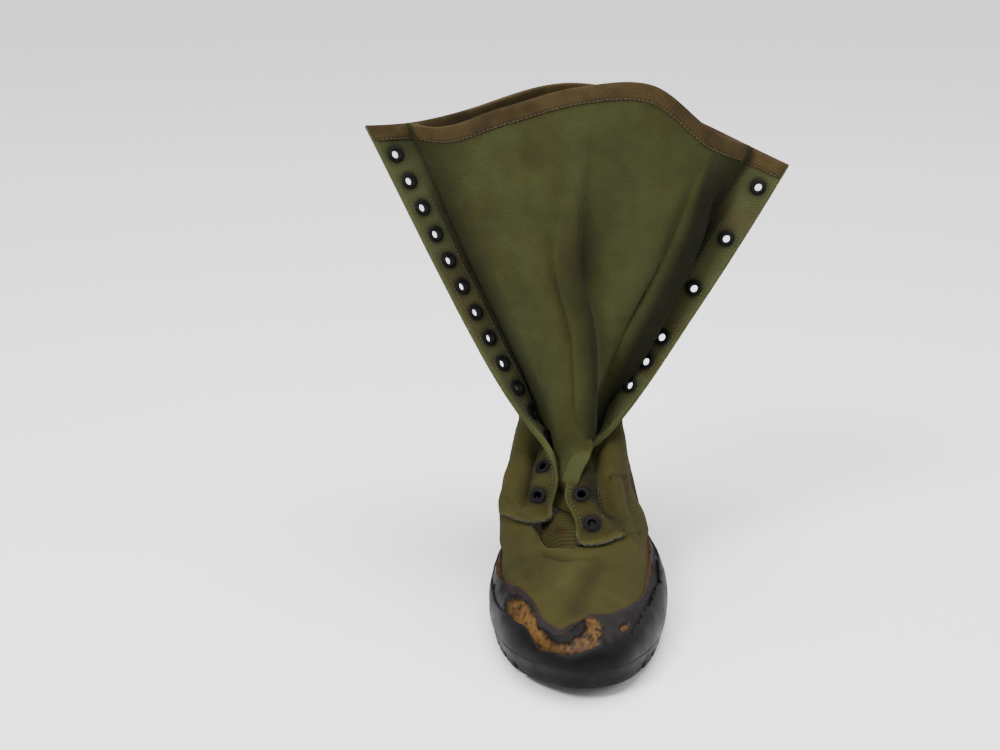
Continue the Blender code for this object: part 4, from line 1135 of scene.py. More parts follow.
def cloth_uv(places, cells):
    """The cloth's own coordinates: in from the front edge, minus on the inner side, then up."""
    inboard = look(INBOARD, places, cells)
    return np.stack((np.where(MEDIAL_CELLS, -inboard, inboard), look(RISE, places, cells)), axis=-1)


def make_vamp():
    """Canvas over the foot: a closed tube whose upper edge is cut round at the throat and runs
    under the quarters elsewhere."""
    slope = (look(RISE, RAW_PLACES + 0.01, CELLS) - look(RISE, RAW_PLACES - 0.01, CELLS)) / 0.02
    top = RAW_PLACES + OVERLAP / slope
    inboard = look(INBOARD, RAW_PLACES, CELLS) / MM
    signed = np.where(MEDIAL_CELLS, -inboard, inboard)
    cut = np.interp(signed, column(THROAT_LINE, 0), column(THROAT_LINE, 1))
    at_throat = np.abs(signed) < THROAT_LINE[-1][0]
    top = np.where(at_throat, np.minimum(top, cut), top)
    share = np.linspace(0, 1, VAMP_ROWS)
    places = share[:, None] * top[None]
    cells = CELLS[None] + 0 * places
    points, normals = cloth_at(places, cells)
    roll = bell(1 - share, 0.012)[:, None] * at_throat * 0.0003
    half = normals * (CANVAS / 2 + roll)[..., None]
    paint = canvas_paint(points, places, cells)
    # Painted highlight along the rolled throat edge
    edge = bell(1 - share, 0.010)[:, None] * at_throat
    paint = mix(paint, VAMP_OLIVE * 1.7, 0.5 * edge)
    shell("vamp_canvas", points + half, points - half, CANVAS_CLOTH, paint, "olive_canvas", "upper",
          lining=paint * 0.8, weld=True, uv=cloth_uv(places, cells))


def quarter_grid():
    """Places and columns of the quarters' grid, with the points and normals there."""
    low = np.linspace(RAW_EDGE, EVEN_FROM, 44)
    back = lengths(TABLE[:, HALF], 0) * BACK_WEIGHT + lengths(TABLE[:, 0], 0)
    even = np.linspace(np.interp(EVEN_FROM, TABLE_PLACES, back), back[-1], 130)[1:]
    base = np.concatenate((low, np.interp(even, back, TABLE_PLACES)))[:, None]
    fitted = RAW_PLACES[None] + (base - RAW_EDGE) / (EVEN_FROM - RAW_EDGE) * (
        EVEN_FROM - RAW_PLACES[None])
    places = np.where(base < EVEN_FROM, fitted, base)
    cells = CELLS[None] + 0 * places
    return places, cells, *cloth_at(places, cells)


QUARTER_PLACES, QUARTER_CELLS, QUARTER, QUARTER_NORMALS = quarter_grid()
QUARTER_INBOARD = look(INBOARD, QUARTER_PLACES, QUARTER_CELLS)
UP_FROM_RAW = lengths(QUARTER, 0)
RAW_INBOARD = QUARTER_INBOARD[0]
FREE_TO = np.where(MEDIAL_CELLS, RAW_REACH["medial"], RAW_REACH["lateral"])
FREE = 1 - smooth(FREE_TO - 0.002, FREE_TO + 0.002, RAW_INBOARD)


# Free lower edge of the quarters: its clearance over the vamp, and its curl
FREE_GAP = 0.0003
CURL = 0.0013
CURL_REACH = 0.004
# Rolled front edge: its width, and how far it swells outward and inward
ROLL_WIDTH = 0.0022
ROLL_OUT = 0.0005
ROLL_IN = 0.0004
# Strip down the back: where its edge falls off, its thickness, its top, and a column's width there
STRIP_EDGE = (0.0088, 0.0098)
STRIP_THICKNESS = 0.0006
STRIP_TOP = 0.97
BACK_CELL = 0.0011
# Stitches of that strip, in columns from its middle
STRIP_SEAM = 8.0
# Painted shade on the lining behind the facings: distances in from the front edge where it begins
# and ends
SHADE_BEHIND_FACING = (0.0150, 0.0210, 0.030, 0.046)
# Dark line beside the first row of stitches
GROOVE_AT = 0.0036


def curl(distance):
    """How far the quarters' free lower edge stands off the vamp."""
    return CURL * np.exp(-distance / CURL_REACH)


def make_quarters():
    """Canvas from the raw lower edges to the collar, with folded front edges and a back strip."""
    d = UP_FROM_RAW
    free = FREE[None]
    rough = 0.0004 * value_noise(QUARTER, 0.0022, 55) * np.exp(-d / 0.0012)
    loose = CANVAS / 2 + FREE_GAP + curl(d)
    tight = CANVAS / 2 + 0.00003
    under = tight + (loose - tight) * free
    over = 1 - smooth(OVERLAP + 0.0005, OVERLAP + 0.0030, d)
    inner_out = under * over - CANVAS / 2 * (1 - over)
    full = CANVAS / 2 + QUARTER_STEP
    thin = CANVAS / 2 + 0.0001 + QUARTER_STEP * smooth(0.0, 0.018, d)
    out = thin + (full + FREE_GAP + curl(d) + rough - thin) * free
    rolled = np.exp(-(QUARTER_INBOARD / ROLL_WIDTH) ** 4)
    out = out + rolled * ROLL_OUT
    strip = 1 - smooth(*STRIP_EDGE, np.abs(QUARTER_CELLS - HALF) * BACK_CELL)
    out = out + strip * STRIP_THICKNESS * (QUARTER_PLACES < STRIP_TOP)
    outer = QUARTER + QUARTER_NORMALS * out[..., None]
    inner = QUARTER + QUARTER_NORMALS * (inner_out - rolled * ROLL_IN)[..., None]
    centres = (QUARTER[:-1, :-1] + QUARTER[1:, 1:]) / 2
    keep = near_eyelets(centres) > (EYELET_RADIUS + EYELET_HOLE) / 2
    edge = bell(QUARTER_INBOARD, 0.0014)
    paint = canvas_paint(QUARTER, QUARTER_PLACES, QUARTER_CELLS)
    paint = mix(paint, DIRT_AND_SHADE, 0.30 * bell(QUARTER_INBOARD - GROOVE_AT, 0.0006))
    # Painted highlight along the rolled front edges, then along the curled free raw lower edges
    paint = mix(paint, SHAFT_GREEN * 1.6, 0.45 * edge)
    paint = mix(paint, VAMP_OLIVE * 2.1, 0.55 * free * np.exp(-d / 0.0014))
    lining = canvas_paint(QUARTER, QUARTER_PLACES, QUARTER_CELLS, lining=True)
    lining = mix(lining, DIRT_AND_SHADE, 0.72 * halo(QUARTER, 0.0024))
    # Painted shade on the lining behind the facings, deeper on the outer side
    shade_behind = smooth(0.60, 0.66, QUARTER_PLACES) * (1 - smooth(0.955, 0.985, QUARTER_PLACES))
    shade_behind = shade_behind * window(QUARTER_INBOARD, *SHADE_BEHIND_FACING)
    lining = mix(lining, DIRT_AND_SHADE, shade_behind * np.where(MEDIAL_CELLS, 0.55, 0.80)[None])
    # Painted highlight along the rolled front edges on the inner face too
    lining = mix(lining, SHAFT_GREEN * 1.5, 0.45 * edge)
    shell("quarter_canvas", outer, inner, CANVAS_CLOTH, paint, "olive_canvas", "upper",
          lining=lining, keep=keep, uv=cloth_uv(QUARTER_PLACES, QUARTER_CELLS))


# ---- stitches and threads

STITCH_PITCH = 0.0027
STITCH_LENGTH = 0.0020
STITCH_RADIUS = 0.00027
FIBRE_RADIUS = 0.00013
FACING_SEAMS = (0.0034, 0.0176)
SEAM_TOP = 0.965
SEAM_POINTS = 260
FIBRES = 260
BEAD_RINGS = (
    # share of the length, girth, height above the cloth
    (-0.50, 0.15, -0.50),
    (-0.36, 0.85, 0.15),
    (0.00, 1.00, 0.50),
    (0.36, 0.85, 0.15),
    (0.50, 0.15, -0.50),
)


def beads(name, stations, mat, slot):
    """Sewn stitches: short rounded beads, each at a point with its direction and normal."""
    points, along, normals = (np.array(part) for part in zip(*stations))
    side = unit(np.cross(along, normals))
    verts = np.stack([
        points + along * step * STITCH_LENGTH + side * (np.cos(a) * girth * STITCH_RADIUS)
        + normals * ((np.sin(a) * girth + proud) * STITCH_RADIUS)
        for step, girth, proud in BEAD_RINGS for a in np.linspace(0, 2 * np.pi, 6, endpoint=False)
    ], axis=1)
    ids = np.arange(verts.shape[1]).reshape(len(BEAD_RINGS), 6)
    after = np.roll(ids, -1, axis=1)
    quads = np.stack((ids[:-1], after[:-1], after[1:], ids[1:]), axis=-1).reshape(-1, 4)
    ends = np.array((ids[0][::-1], ids[-1]))
    offset = (np.arange(len(points)) * verts.shape[1])[:, None, None]
    faces = [(block[None] + offset).reshape(-1, block.shape[1]) for block in (quads, ends)]
    new_object(name, verts.reshape(-1, 3), faces, mat, slot)


def seam_stations(line, normals, pitch, seed):
    """Evenly pitched stitches along a line of points, with a slight irregularity."""
    along = lengths(line, 0)
    at = np.arange(pitch, along[-1] - pitch / 2, pitch)
    wobble = value_noise(np.stack((at, at * 0, at * 0), axis=-1), pitch * 1.3, seed)
    at = at + wobble * pitch * 0.10
    direction = unit(pick(at + pitch / 3, along, line) - pick(at - pitch / 3, along, line))
    return list(zip(pick(at, along, line), direction, unit(pick(at, along, normals))))


def facing_line(side, inboard, low, high, out):
    """Line up one facing at a distance from its edge, on the outer or the inner face."""
    places = np.linspace(low, high, SEAM_POINTS)
    points, normals = cloth_at(places, cell_at(side, places, inboard))
    offset = CANVAS / 2 + (QUARTER_STEP + FREE_GAP if out > 0 else 0.0)
    return points + normals * offset * out, normals * out


def make_seams():
    """Two rows of stitches up each facing, on both faces, and one beside each edge of the back
    strip."""
    stations = []
    for side, low in (("medial", 0.52), ("lateral", 0.50)):
        for out, start in ((1, low), (-1, 0.60)):
            for inboard in FACING_SEAMS:
                line, normals = facing_line(side, inboard, start, SEAM_TOP, out)
                stations += seam_stations(line, normals, STITCH_PITCH, 61)
    places = np.linspace(0.34, SEAM_TOP, SEAM_POINTS)
    for shift in (-STRIP_SEAM, STRIP_SEAM):
        points, normals = cloth_at(places, HALF + shift + 0 * places)
        line = points + normals * (CANVAS / 2 + QUARTER_STEP + STRIP_THICKNESS)
        stations += seam_stations(line, normals, STITCH_PITCH, 63)
    beads("canvas_stitches", stations, THREAD, "olive_canvas")


def strands(name, roots, mat, slot):
    """Loose threads: thin three-sided tubes, each from a root along two bent steps."""
    verts, faces, ends = [], [], []
    for path in np.array(roots):
        start, last = len(verts), len(path) - 1
        for k, p in enumerate(path):
            way = unit(path[min(k + 1, last)] - path[max(k - 1, 0)])
            side = unit(np.cross(way, UP + (0.1, 0.2, 0.0)))
            top = np.cross(side, way)
            girth = FIBRE_RADIUS * (1 - 0.18 * k)
            for a in (0.0, 2.1, 4.2):
                verts.append(p + (side * np.cos(a) + top * np.sin(a)) * girth)
        for a in range(start, start + 3 * last, 3):
            faces += [(a + i, a + (i + 1) % 3, a + 3 + (i + 1) % 3, a + 3 + i) for i in range(3)]
        tip = start + 3 * last
        ends += [(start + 2, start + 1, start), (tip, tip + 1, tip + 2)]
    new_object(name, np.array(verts), [np.array(faces), np.array(ends)], mat, slot)


def make_frayed_edges():
    """Fibres that stand out of the raw lower edges of the quarters."""
    rng = np.random.default_rng(7)
    roots = []
    for side, part in PART_OF.items():
        cols = np.nonzero(part & (RAW_INBOARD < RAW_REACH[side]))[0]
        line, normals = QUARTER[0, cols], QUARTER_NORMALS[0, cols]
        below = unit(QUARTER[0, cols] - QUARTER[3, cols])
        along = lengths(line, 0)
        for x in np.sort(rng.uniform(0, along[-1] * 0.999, FIBRES)):
            i = int(np.searchsorted(along, x, side="right")) - 1
            t = (x - along[i]) / (along[i + 1] - along[i])
            normal, down = normals[i], below[i]
            root = line[i] * (1 - t) + line[i + 1] * t
            root = root + normal * (CANVAS / 2 + 0.0016 + rng.uniform(0.0, 0.0010))
            reach = rng.uniform(0.0006, 0.0022)
            slant = unit(line[i + 1] - line[i]) * rng.uniform(-0.9, 0.9)
            first = root + (down + slant * 0.5 + normal * 0.2) * reach * 0.5
            roots.append((root, first, first + (down * 0.7 + slant - normal * 0.1) * reach * 0.6))
    strands("frayed_fibres", roots, THREAD, "olive_canvas")


# ---- tongue

TONGUE_ROWS = 150
TONGUE_COLUMNS = 120
TONGUE_START = 0.545
TONGUE_SHARES = np.concatenate(([0.0], np.linspace(0, 1, TONGUE_COLUMNS), [1.0]))
FLAT_RATIO = 1.6
# Quilted lining at the throat, in millimetres: its first corner, its reach, the bow and rise of its
# middle, the fall of its two sides, and its number of ribs
QUILT_FROM = (-21.0, 103.5, 43.0)
QUILT_REACH = (30.0, 28.0, 17.0)
QUILT_BOW = 3.0
QUILT_RISE = 2.6
QUILT_FALL = (6.5, 6.0)
QUILT_RIBS = 13
# Pleat down the middle, by place: its height, the dent beside it, then the outer fold's height and
# the drop behind that fold, all in millimetres
PLEAT = (
    (0.54, 0.5, 0.5, 0.5, 0.5),
    (0.62, 2.0, 2.0, 1.0, 2.0),
    (0.72, 6.0, 5.0, 3.0, 7.0),
    (0.84, 8.0, 7.5, 5.0, 11.5),
    (0.90, 5.5, 8.5, 5.5, 12.0),
    (0.95, 1.5, 4.5, 4.0, 10.0),
    (1.00, 0.0, 0.0, 0.0, 0.0),
)
# Where the pleat hangs over the outer front edge: places among the rings, knots across the pleat,
# and at the middle ones the cloth's place from that edge, over it and then back round it
HANG_PLACES = (0.590, 0.630, 0.670, 0.770)
HANG_KNOTS = (-0.013, 0.0, 0.0045, 0.0095, 0.018)
HANG_OVER = np.array((0.0050, -0.0055, 0.0))
HANG_ROUND = np.array((-0.0032, -0.0008, 0.0))
HANG_BEHIND = (0.0085, 0.0045)
# Softer folds: depth in millimetres and half width, then points by share across and place
TONGUE_FOLDS = (
    (-2.0, 0.060, ((0.24, 0.98), (0.27, 0.92), (0.31, 0.86), (0.34, 0.78))),
    (1.6, 0.050, ((0.36, 0.97), (0.38, 0.90), (0.40, 0.84))),
    (-1.5, 0.035, ((0.12, 0.95), (0.16, 0.88), (0.20, 0.80))),
    (1.2, 0.040, ((0.66, 0.97), (0.63, 0.92), (0.60, 0.89))),
)


def tongue_ends(places, beyond, side):
    """Points of the tongue against the inner face of a quarter, past its facing."""
    points, normals = cloth_at(places, cell_at(side, places, FACING_WIDTH + beyond))
    ramp = np.clip((places - TAPE_CLEAR_FROM) / (1 - TAPE_CLEAR_FROM), 0, 1)
    shift = CANVAS / 2 + 2 * GAP + TONGUE_CLOTH / 2 + ramp * 2 * (TAPE_THICKNESS + GAP)
    return points - normals * shift[:, None]


def hang_over(points, places, across):
    """The pleat comes out between the facings, over the outer edge, and goes back behind it."""
    edge = look(TABLE, places, cell_at("lateral", places, 0.0))
    back, normals = cloth_at(places, cell_at("lateral", places, HANG_BEHIND[0]))
    back = back - normals * HANG_BEHIND[1]
    hang = window(places, *HANG_PLACES)
    moved = points.copy()
    shifts = np.zeros((len(HANG_KNOTS), 3))
    for k in np.nonzero(hang > 0)[0]:
        targets = np.array((edge[k] + HANG_OVER, edge[k] + HANG_ROUND, back[k]))
        shifts[1:-1] = targets - pick(HANG_KNOTS[1:-1], across[k], points[k])
        for i in range(3):
            moved[k, :, i] += hang[k] * hermite(HANG_KNOTS, shifts[:, i], across[k])
    return moved


def tongue_rows(places):
    """Smooth rows from the inner seam to the outer one, and each point's distance from the ridge
    and from the outer fold."""
    starts = column(TONGUE_FOOT_ROWS + TONGUE_SHAFT_ROWS, 0)
    table = np.array([foot_points(row[1:]) for row in TONGUE_FOOT_ROWS]
                     + [shaft_points(row[1:]) for row in TONGUE_SHAFT_ROWS])
    ends = {(side, b): tongue_ends(places, b, side) for side in SIDES for b in (0.0, SEAM_MARGIN)}
    rows, ridge, fold = [], [], []
    for k, place in enumerate(places):
        middle = [[hermite(starts, table[:, j, i], place) for i in range(3)]
                  for j in range(table.shape[1])]
        knots = np.array([ends["medial", 0.0][k]] + middle + [ends["lateral", 0.0][k]])
        length = lengths(knots, 0)
        at = TONGUE_SHARES * length[-1]
        curve = np.stack([hermite(length, knots[:, i], at[1:-1]) for i in range(3)], axis=1)
        rows.append(np.concatenate((ends["medial", SEAM_MARGIN][k:k + 1], curve,
                                    ends["lateral", SEAM_MARGIN][k:k + 1])))
        ridge.append(at - length[3])
        fold.append(at - length[5])
    return np.array(rows), np.array(ridge), np.array(fold)


def tongue_surface():
    """The tongue's places, shares across, points, and its painted shade and painted highlight. Rows
    run from the hem to the top edge."""
    places = np.linspace(TONGUE_START, 1.0, TONGUE_ROWS)
    points, q, f = tongue_rows(places)
    across = TONGUE_SHARES[None] + 0 * places[:, None]
    place = places[:, None] + 0 * across
    flat = np.stack((across, place * FLAT_RATIO, 0 * across), axis=-1)
    bend = np.zeros_like(across)
    for depth, width, line in TONGUE_FOLDS:
        path = np.array([(a, p * FLAT_RATIO, 0.0) for a, p in line])
        bend += depth * MM * bell(line_distance(flat, path), width)
    high, dent, lip, drop = (hermite(column(PLEAT, 0), column(PLEAT, i), places)[:, None] * MM
                             for i in range(1, 5))
    bend += high * bell(q, np.where(q < 0, 0.011, 0.0028))
    bend -= dent * bell(q - 0.0085, 0.0055)
    bend += lip * bell(f, np.where(f < 0, 0.008, 0.0024))
    bend -= drop * bell(f - 0.0115, 0.0075) * smooth(-0.004, 0.001, f)
    bend += noises(points, (0.5 * MM, 0.030, 71), (0.25 * MM, 0.012, 72))
    bend *= smooth(0.0, 0.10, across) * smooth(0.0, 0.10, 1 - across)
    bend *= 0.3 + 0.7 * smooth(0.0, 0.06, 1 - place)
    points = hang_over(points + grid_normals(points) * bend[..., None], places, q)
    # Painted shade behind the outer fold and in the dent beside the pleat, and painted highlight
    # along the pleat's ridge
    hidden = smooth(0.0005, 0.0050, f) * window(place, 0.62, 0.68, 0.965, 1.0)
    wide = 0.0045 + 0.0075 * smooth(0.84, 0.93, place)
    hollow = bell(q - 0.0030 - wide, wide) * smooth(0.0010, 0.0030, q)
    hollow = hollow * window(place, 0.66, 0.74, 0.91, 0.965)
    highlight = bell(q + 0.0055, 0.0075) * window(place, 0.66, 0.74, 0.88, 0.94)
    return places, across, points, np.maximum(0.85 * hidden, 0.72 * hollow), highlight


TONGUE_PLACES, TONGUE_ACROSS, TONGUE, TONGUE_SHADE, TONGUE_HIGHLIGHT = tongue_surface()


def distance_uv(points):
    """The cloth's own coordinates, by distance along its columns and its rows."""
    return np.stack((lengths(points, 1), lengths(points, 0)), axis=-1)


def make_tongue():
    """Full-height folding tongue, sewn behind both facings."""
    half = grid_normals(TONGUE) * TONGUE_CLOTH / 2
    blotch = noises(TONGUE, (0.6, 0.030, 81), (0.4, 0.010, 82))
    colour = mix(SHAFT_GREEN, VAMP_OLIVE * 1.1, smooth(-0.3, 0.7, blotch) * 0.45)
    low = 1 - smooth(0.56, 0.70, TONGUE_PLACES)[:, None]
    colour = mix(colour, VAMP_OLIVE * 0.8, 0.5 * low + 0 * TONGUE_ACROSS)
    rust = smooth(0.30, 0.85, value_noise(TONGUE, 0.034, 83) + 0.3 * blotch)
    colour = mix(colour, BROWN * 0.6, rust * 0.25)
    # Painted shade along both sides, where the tongue goes in behind the facings
    side = bell(TONGUE_ACROSS, 0.10) + bell(1 - TONGUE_ACROSS, 0.10)
    colour = mix(colour, DIRT_AND_SHADE, np.clip(side, 0, 1) * 0.45)
    # Painted highlight along the pleat's ridge, then painted shade behind the fold and in the dent
    colour = mix(colour, VAMP_OLIVE * 2.0, 0.50 * TONGUE_HIGHLIGHT)
    colour = mix(colour, DIRT_AND_SHADE, TONGUE_SHADE)
    colour = colour * (1 + 0.08 * value_noise(TONGUE, 0.006, 84))[..., None]
    shell("tongue_cloth", TONGUE + half, TONGUE - half, TONGUE_WEAVE, colour, "tongue_canvas",
          "tongue", lining=colour * 0.8, uv=distance_uv(TONGUE))


def make_throat_lining():
    """Quilted end of the lining that shows between the two facings, under the tongue."""
    b, a = np.meshgrid(np.linspace(0, 1, 60), np.linspace(0, 1, 64), indexing="ij")
    x, y, z = (start + reach * share
               for start, reach, share in zip(QUILT_FROM, QUILT_REACH, (a, b, b)))
    y = y + QUILT_BOW * (2 * a - 1) ** 2
    z = z + QUILT_RISE * np.sin(np.pi * np.clip(b * 0.95, 0, 1))
    z = z - (QUILT_FALL[0] * smooth(0.42, 0.0, a) + QUILT_FALL[1] * smooth(0.68, 1.0, a))
    ribs = np.sin(b * 2 * np.pi * QUILT_RIBS)
    points = np.stack((x, y, z), axis=-1) * MM + UP * (ribs * 0.00025)[..., None]
    normals = -grid_normals(points)
    normals = normals * np.sign(normals[..., 2:3])
    colour = mix(VAMP_OLIVE * 0.85, BROWN * 0.5, smooth(0.0, 0.8, value_noise(points, 0.008, 91)))
    # Darker in the ribs' hollows and lighter on their crests: painted shade and painted highlight
    colour = colour * (0.85 + 0.28 * ribs[..., None])
    shell("throat_lining", points, points - normals * 0.0010, CANVAS_CLOTH, colour, "olive_canvas",
          uv=distance_uv(points))


# ---- tapes

TAPE_DEPTHS = np.array((0.0, 0.0025, 0.0050, 0.0075, TAPE_WIDTH))
TAPE_ROWS = 29


def folded_tape(name, lines, normal_lines, half_out, half_in, node, seed):
    """Binding folded over an edge, and the places of its stitches. lines and normal_lines hold
    the cloth's points and normals from the edge down."""
    points, normals = [], []
    for line, cloth_normals in zip(lines, normal_lines):
        along = lengths(line, 0)
        points.append(pick(TAPE_DEPTHS, along, line))
        normals.append(pick(TAPE_DEPTHS, along, cloth_normals))
    points, normals = np.array(points), unit(np.array(normals))
    up = unit(points[:, 0] - points[:, 1])
    near, wall = GAP * 0.6, TAPE_THICKNESS * 0.8
    wave = 0.00025 * value_noise(points[:, 0], 0.006, seed)[:, None]
    last = len(TAPE_DEPTHS) - 1

    def face(k, sign, half):
        """The tape's outer face at one depth, thinner at its hem."""
        taper = 0.55 if k == last else 1.0
        return points[:, k] + sign * normals[:, k] * (half + near + wall * taper + wave)

    def back(k, sign, half):
        """The tape's inner face at one depth, close to the cloth."""
        return (points[:, k] + sign * normals[:, k] * (half + near * 0.5)
                + up * (k == 0) * near * 0.5)

    loop = [face(k, 1, half_out) for k in range(last, 0, -1)]
    for angle in np.linspace(0, np.pi, 7):
        out = np.cos(angle) * ((half_out if angle < np.pi / 2 else half_in) + near + wall)
        loop.append(points[:, 0] + normals[:, 0] * out + up * np.sin(angle) * (near + wall))
    loop += [face(k, -1, half_in) for k in range(1, last + 1)]
    loop += [back(k, -1, half_in) for k in range(last, -1, -1)]
    loop += [back(k, 1, half_out) for k in range(last + 1)]
    loop = np.stack(loop, axis=1)
    ids = np.arange(loop[..., 0].size).reshape(loop.shape[:2])
    wrap = np.concatenate((ids, ids[:, :1]), axis=1)
    quads = np.stack((wrap[:-1, :-1], wrap[1:, :-1], wrap[1:, 1:], wrap[:-1, 1:]), axis=-1)
    faces = [quads.reshape(-1, 4), np.array((ids[0], ids[-1][::-1]))]
    blotch = noises(loop, (0.6, 0.016, seed + 1), (0.4, 0.005, seed + 2))
    colour = mix(TAN, TAN_DARK, smooth(-0.35, 0.65, blotch) * 0.85)
    colour = mix(colour, SHAFT_GREEN, smooth(0.5, 1.0, value_noise(loop, 0.02, seed + 3)) * 0.4)
    steps = np.linalg.norm(np.diff(loop, axis=1, append=loop[:, :1]), axis=-1)
    uv = np.stack((lengths(loop, 0), np.cumsum(steps, axis=1)), axis=-1)
    new_object(name, loop.reshape(-1, 3), faces, TAPE_WEAVE, "tan_tape", (node,), faces,
               uv.reshape(-1, 2), colour.reshape(-1, 3))
    stations = []
    for sign, half in ((1, half_out), (-1, half_in)):
        line = (points[:, 3] * 0.3 + points[:, 4] * 0.7
                + sign * normals[:, 4] * (half + near + wall * 0.8))
        stations += seam_stations(line, sign * normals[:, 4], 0.0028, seed + 4)
    return stations


def make_tapes():
    """Binding of the collar and of the tongue's top edge, with their stitches."""
    from_edge = slice(-1, -TAPE_ROWS - 1, -1)
    stations = []
    for name, cloth, normals, columns, halves, seed in (
            ("collar", TABLE, NORMALS, slice(None, None, 2),
             (CANVAS / 2 + QUARTER_STEP + FREE_GAP, CANVAS / 2), 101),
            ("tongue", TONGUE, grid_normals(TONGUE), slice(3, -3), (TONGUE_CLOTH / 2,) * 2, 111)):
        lines, normal_lines = (grid[from_edge, columns].transpose(1, 0, 2)
                               for grid in (cloth, normals))
        stations += folded_tape(f"{name}_binding", lines, normal_lines, *halves, f"{name}_tape",
                                seed)
    beads("binding_stitches", stations, TAPE_THREAD, "tan_tape")


# ---- rubber

RUBBER_ROWS = 48
FOXING_COLUMNS = 520
BUMPER_ROWS = 34
BUMPER_COLUMNS = 360
# Place up to which the wall is sampled, and how far round the toe both sides' normals blend
WALL_TOP = 0.62
TOE_BLEND = 0.02
# Strip along the rubber's edge: its width on the inner side and elsewhere, and its thickness
EDGE_STRIP = (0.0065, 0.0040)
EDGE_THICKNESS = 0.0014
# Share of the rubber's thickness that is gone where it is torn
TORN_AWAY = 0.72
EDGE_ROUNDING = 0.0005
SOLE_STATIONS = 300
FLOOR_DUST = np.array((0.040, 0.034, 0.027))
SOLE_LEVELS = (
    # inset, blend from the under face to the upper face
    (0.0052, 0.0), (0.0034, 0.0), (0.0022, 0.03), (0.0013, 0.10), (0.0010, 0.30),
    (0.0006, 0.50), (-0.0002, 0.66), (-0.0009, 0.80), (-0.0012, 0.90), (-0.0012, 0.985),
    (-0.0010, 1.0),
)


def rubber_columns(first, last, count):
    """Signed shares round the boot, with the wall's points and normals in each column."""
    around = np.linspace(first, last, count)
    halves = {side: surface(side, np.linspace(0, WALL_TOP, 160)) for side in SIDES}
    normals = {side: -SIDES[side] * grid_normals(halves[side]) for side in SIDES}
    columns = []
    for u in around:
        side = "medial" if u < 0 else "lateral"
        k = min(abs(u), 1.0) * DENSE
        i = min(int(k), DENSE - 1)
        t = k - i
        columns.append([grid[side][:, i] * (1 - t) + grid[side][:, i + 1] * t
                        for grid in (halves, normals)])
    points, outward = np.array(columns).transpose(1, 0, 2, 3)
    middle = unit(normals["medial"][:, 0] + normals["lateral"][:, 0])
    for k in np.nonzero(np.abs(around) < TOE_BLEND)[0]:
        share = abs(around[k]) / TOE_BLEND
        outward[k] = outward[k] * share + middle * (1 - share)
    outward[:, 0] *= (1, 1, 0)
    return around, points, unit(outward)


def at_rise(points, outward, rises):
    """Points and normals of each column at its own list of rises up the wall."""
    along = lengths(points, 1)
    return sample_rows(points, along, rises), unit(sample_rows(outward, along, rises))


def torn_mask(around, rise):
    """1 where the outer rubber has peeled off and the fibrous ply shows."""
    probe = wall_probe(around, rise)
    jog_u = around + noises(probe, (0.006, 0.0030, 121), (0.003, 0.0013, 122))
    jog_r = rise / MM + 1.1 * value_noise(probe, 0.0028, 123)
    mask = inside(list(TORN), jog_u, jog_r)
    for u, r, wide, high in TORN_SPOTS:
        mask |= ((jog_u - u) / wide) ** 2 + ((jog_r - r) / high) ** 2 < 1
    return mask.astype(float)


def bulge(share):
    """Rounded cross section of the outer band, by share of its height."""
    return np.sin(np.pi * (0.5 + 0.47 * np.clip(share, 0, 1))) ** 0.5


def band_height(around):
    """Height of the thick outer band round the sole, in metres."""
    return hermite(column(BUMPER_EDGE, 0), column(BUMPER_EDGE, 1), around) * MM


def rubber_piece(name, node, middle, normal, under, over, colour, closed=False):
    """Rubber between two distances from the wall's middle surface, resting on the sole."""
    grids = [middle + normal * under, middle + normal * over[..., None]]
    for grid in grids:
        grid[:, 0, 2] = sole_top(grid[:, 0, 1]) - GAP * 0.8
    outer, inner, colour = (grid.transpose(1, 0, 2) for grid in (grids[1], grids[0], colour))
    shell(name, outer, inner, RUBBER_WALL, colour, "black_rubber", node, closed=closed)


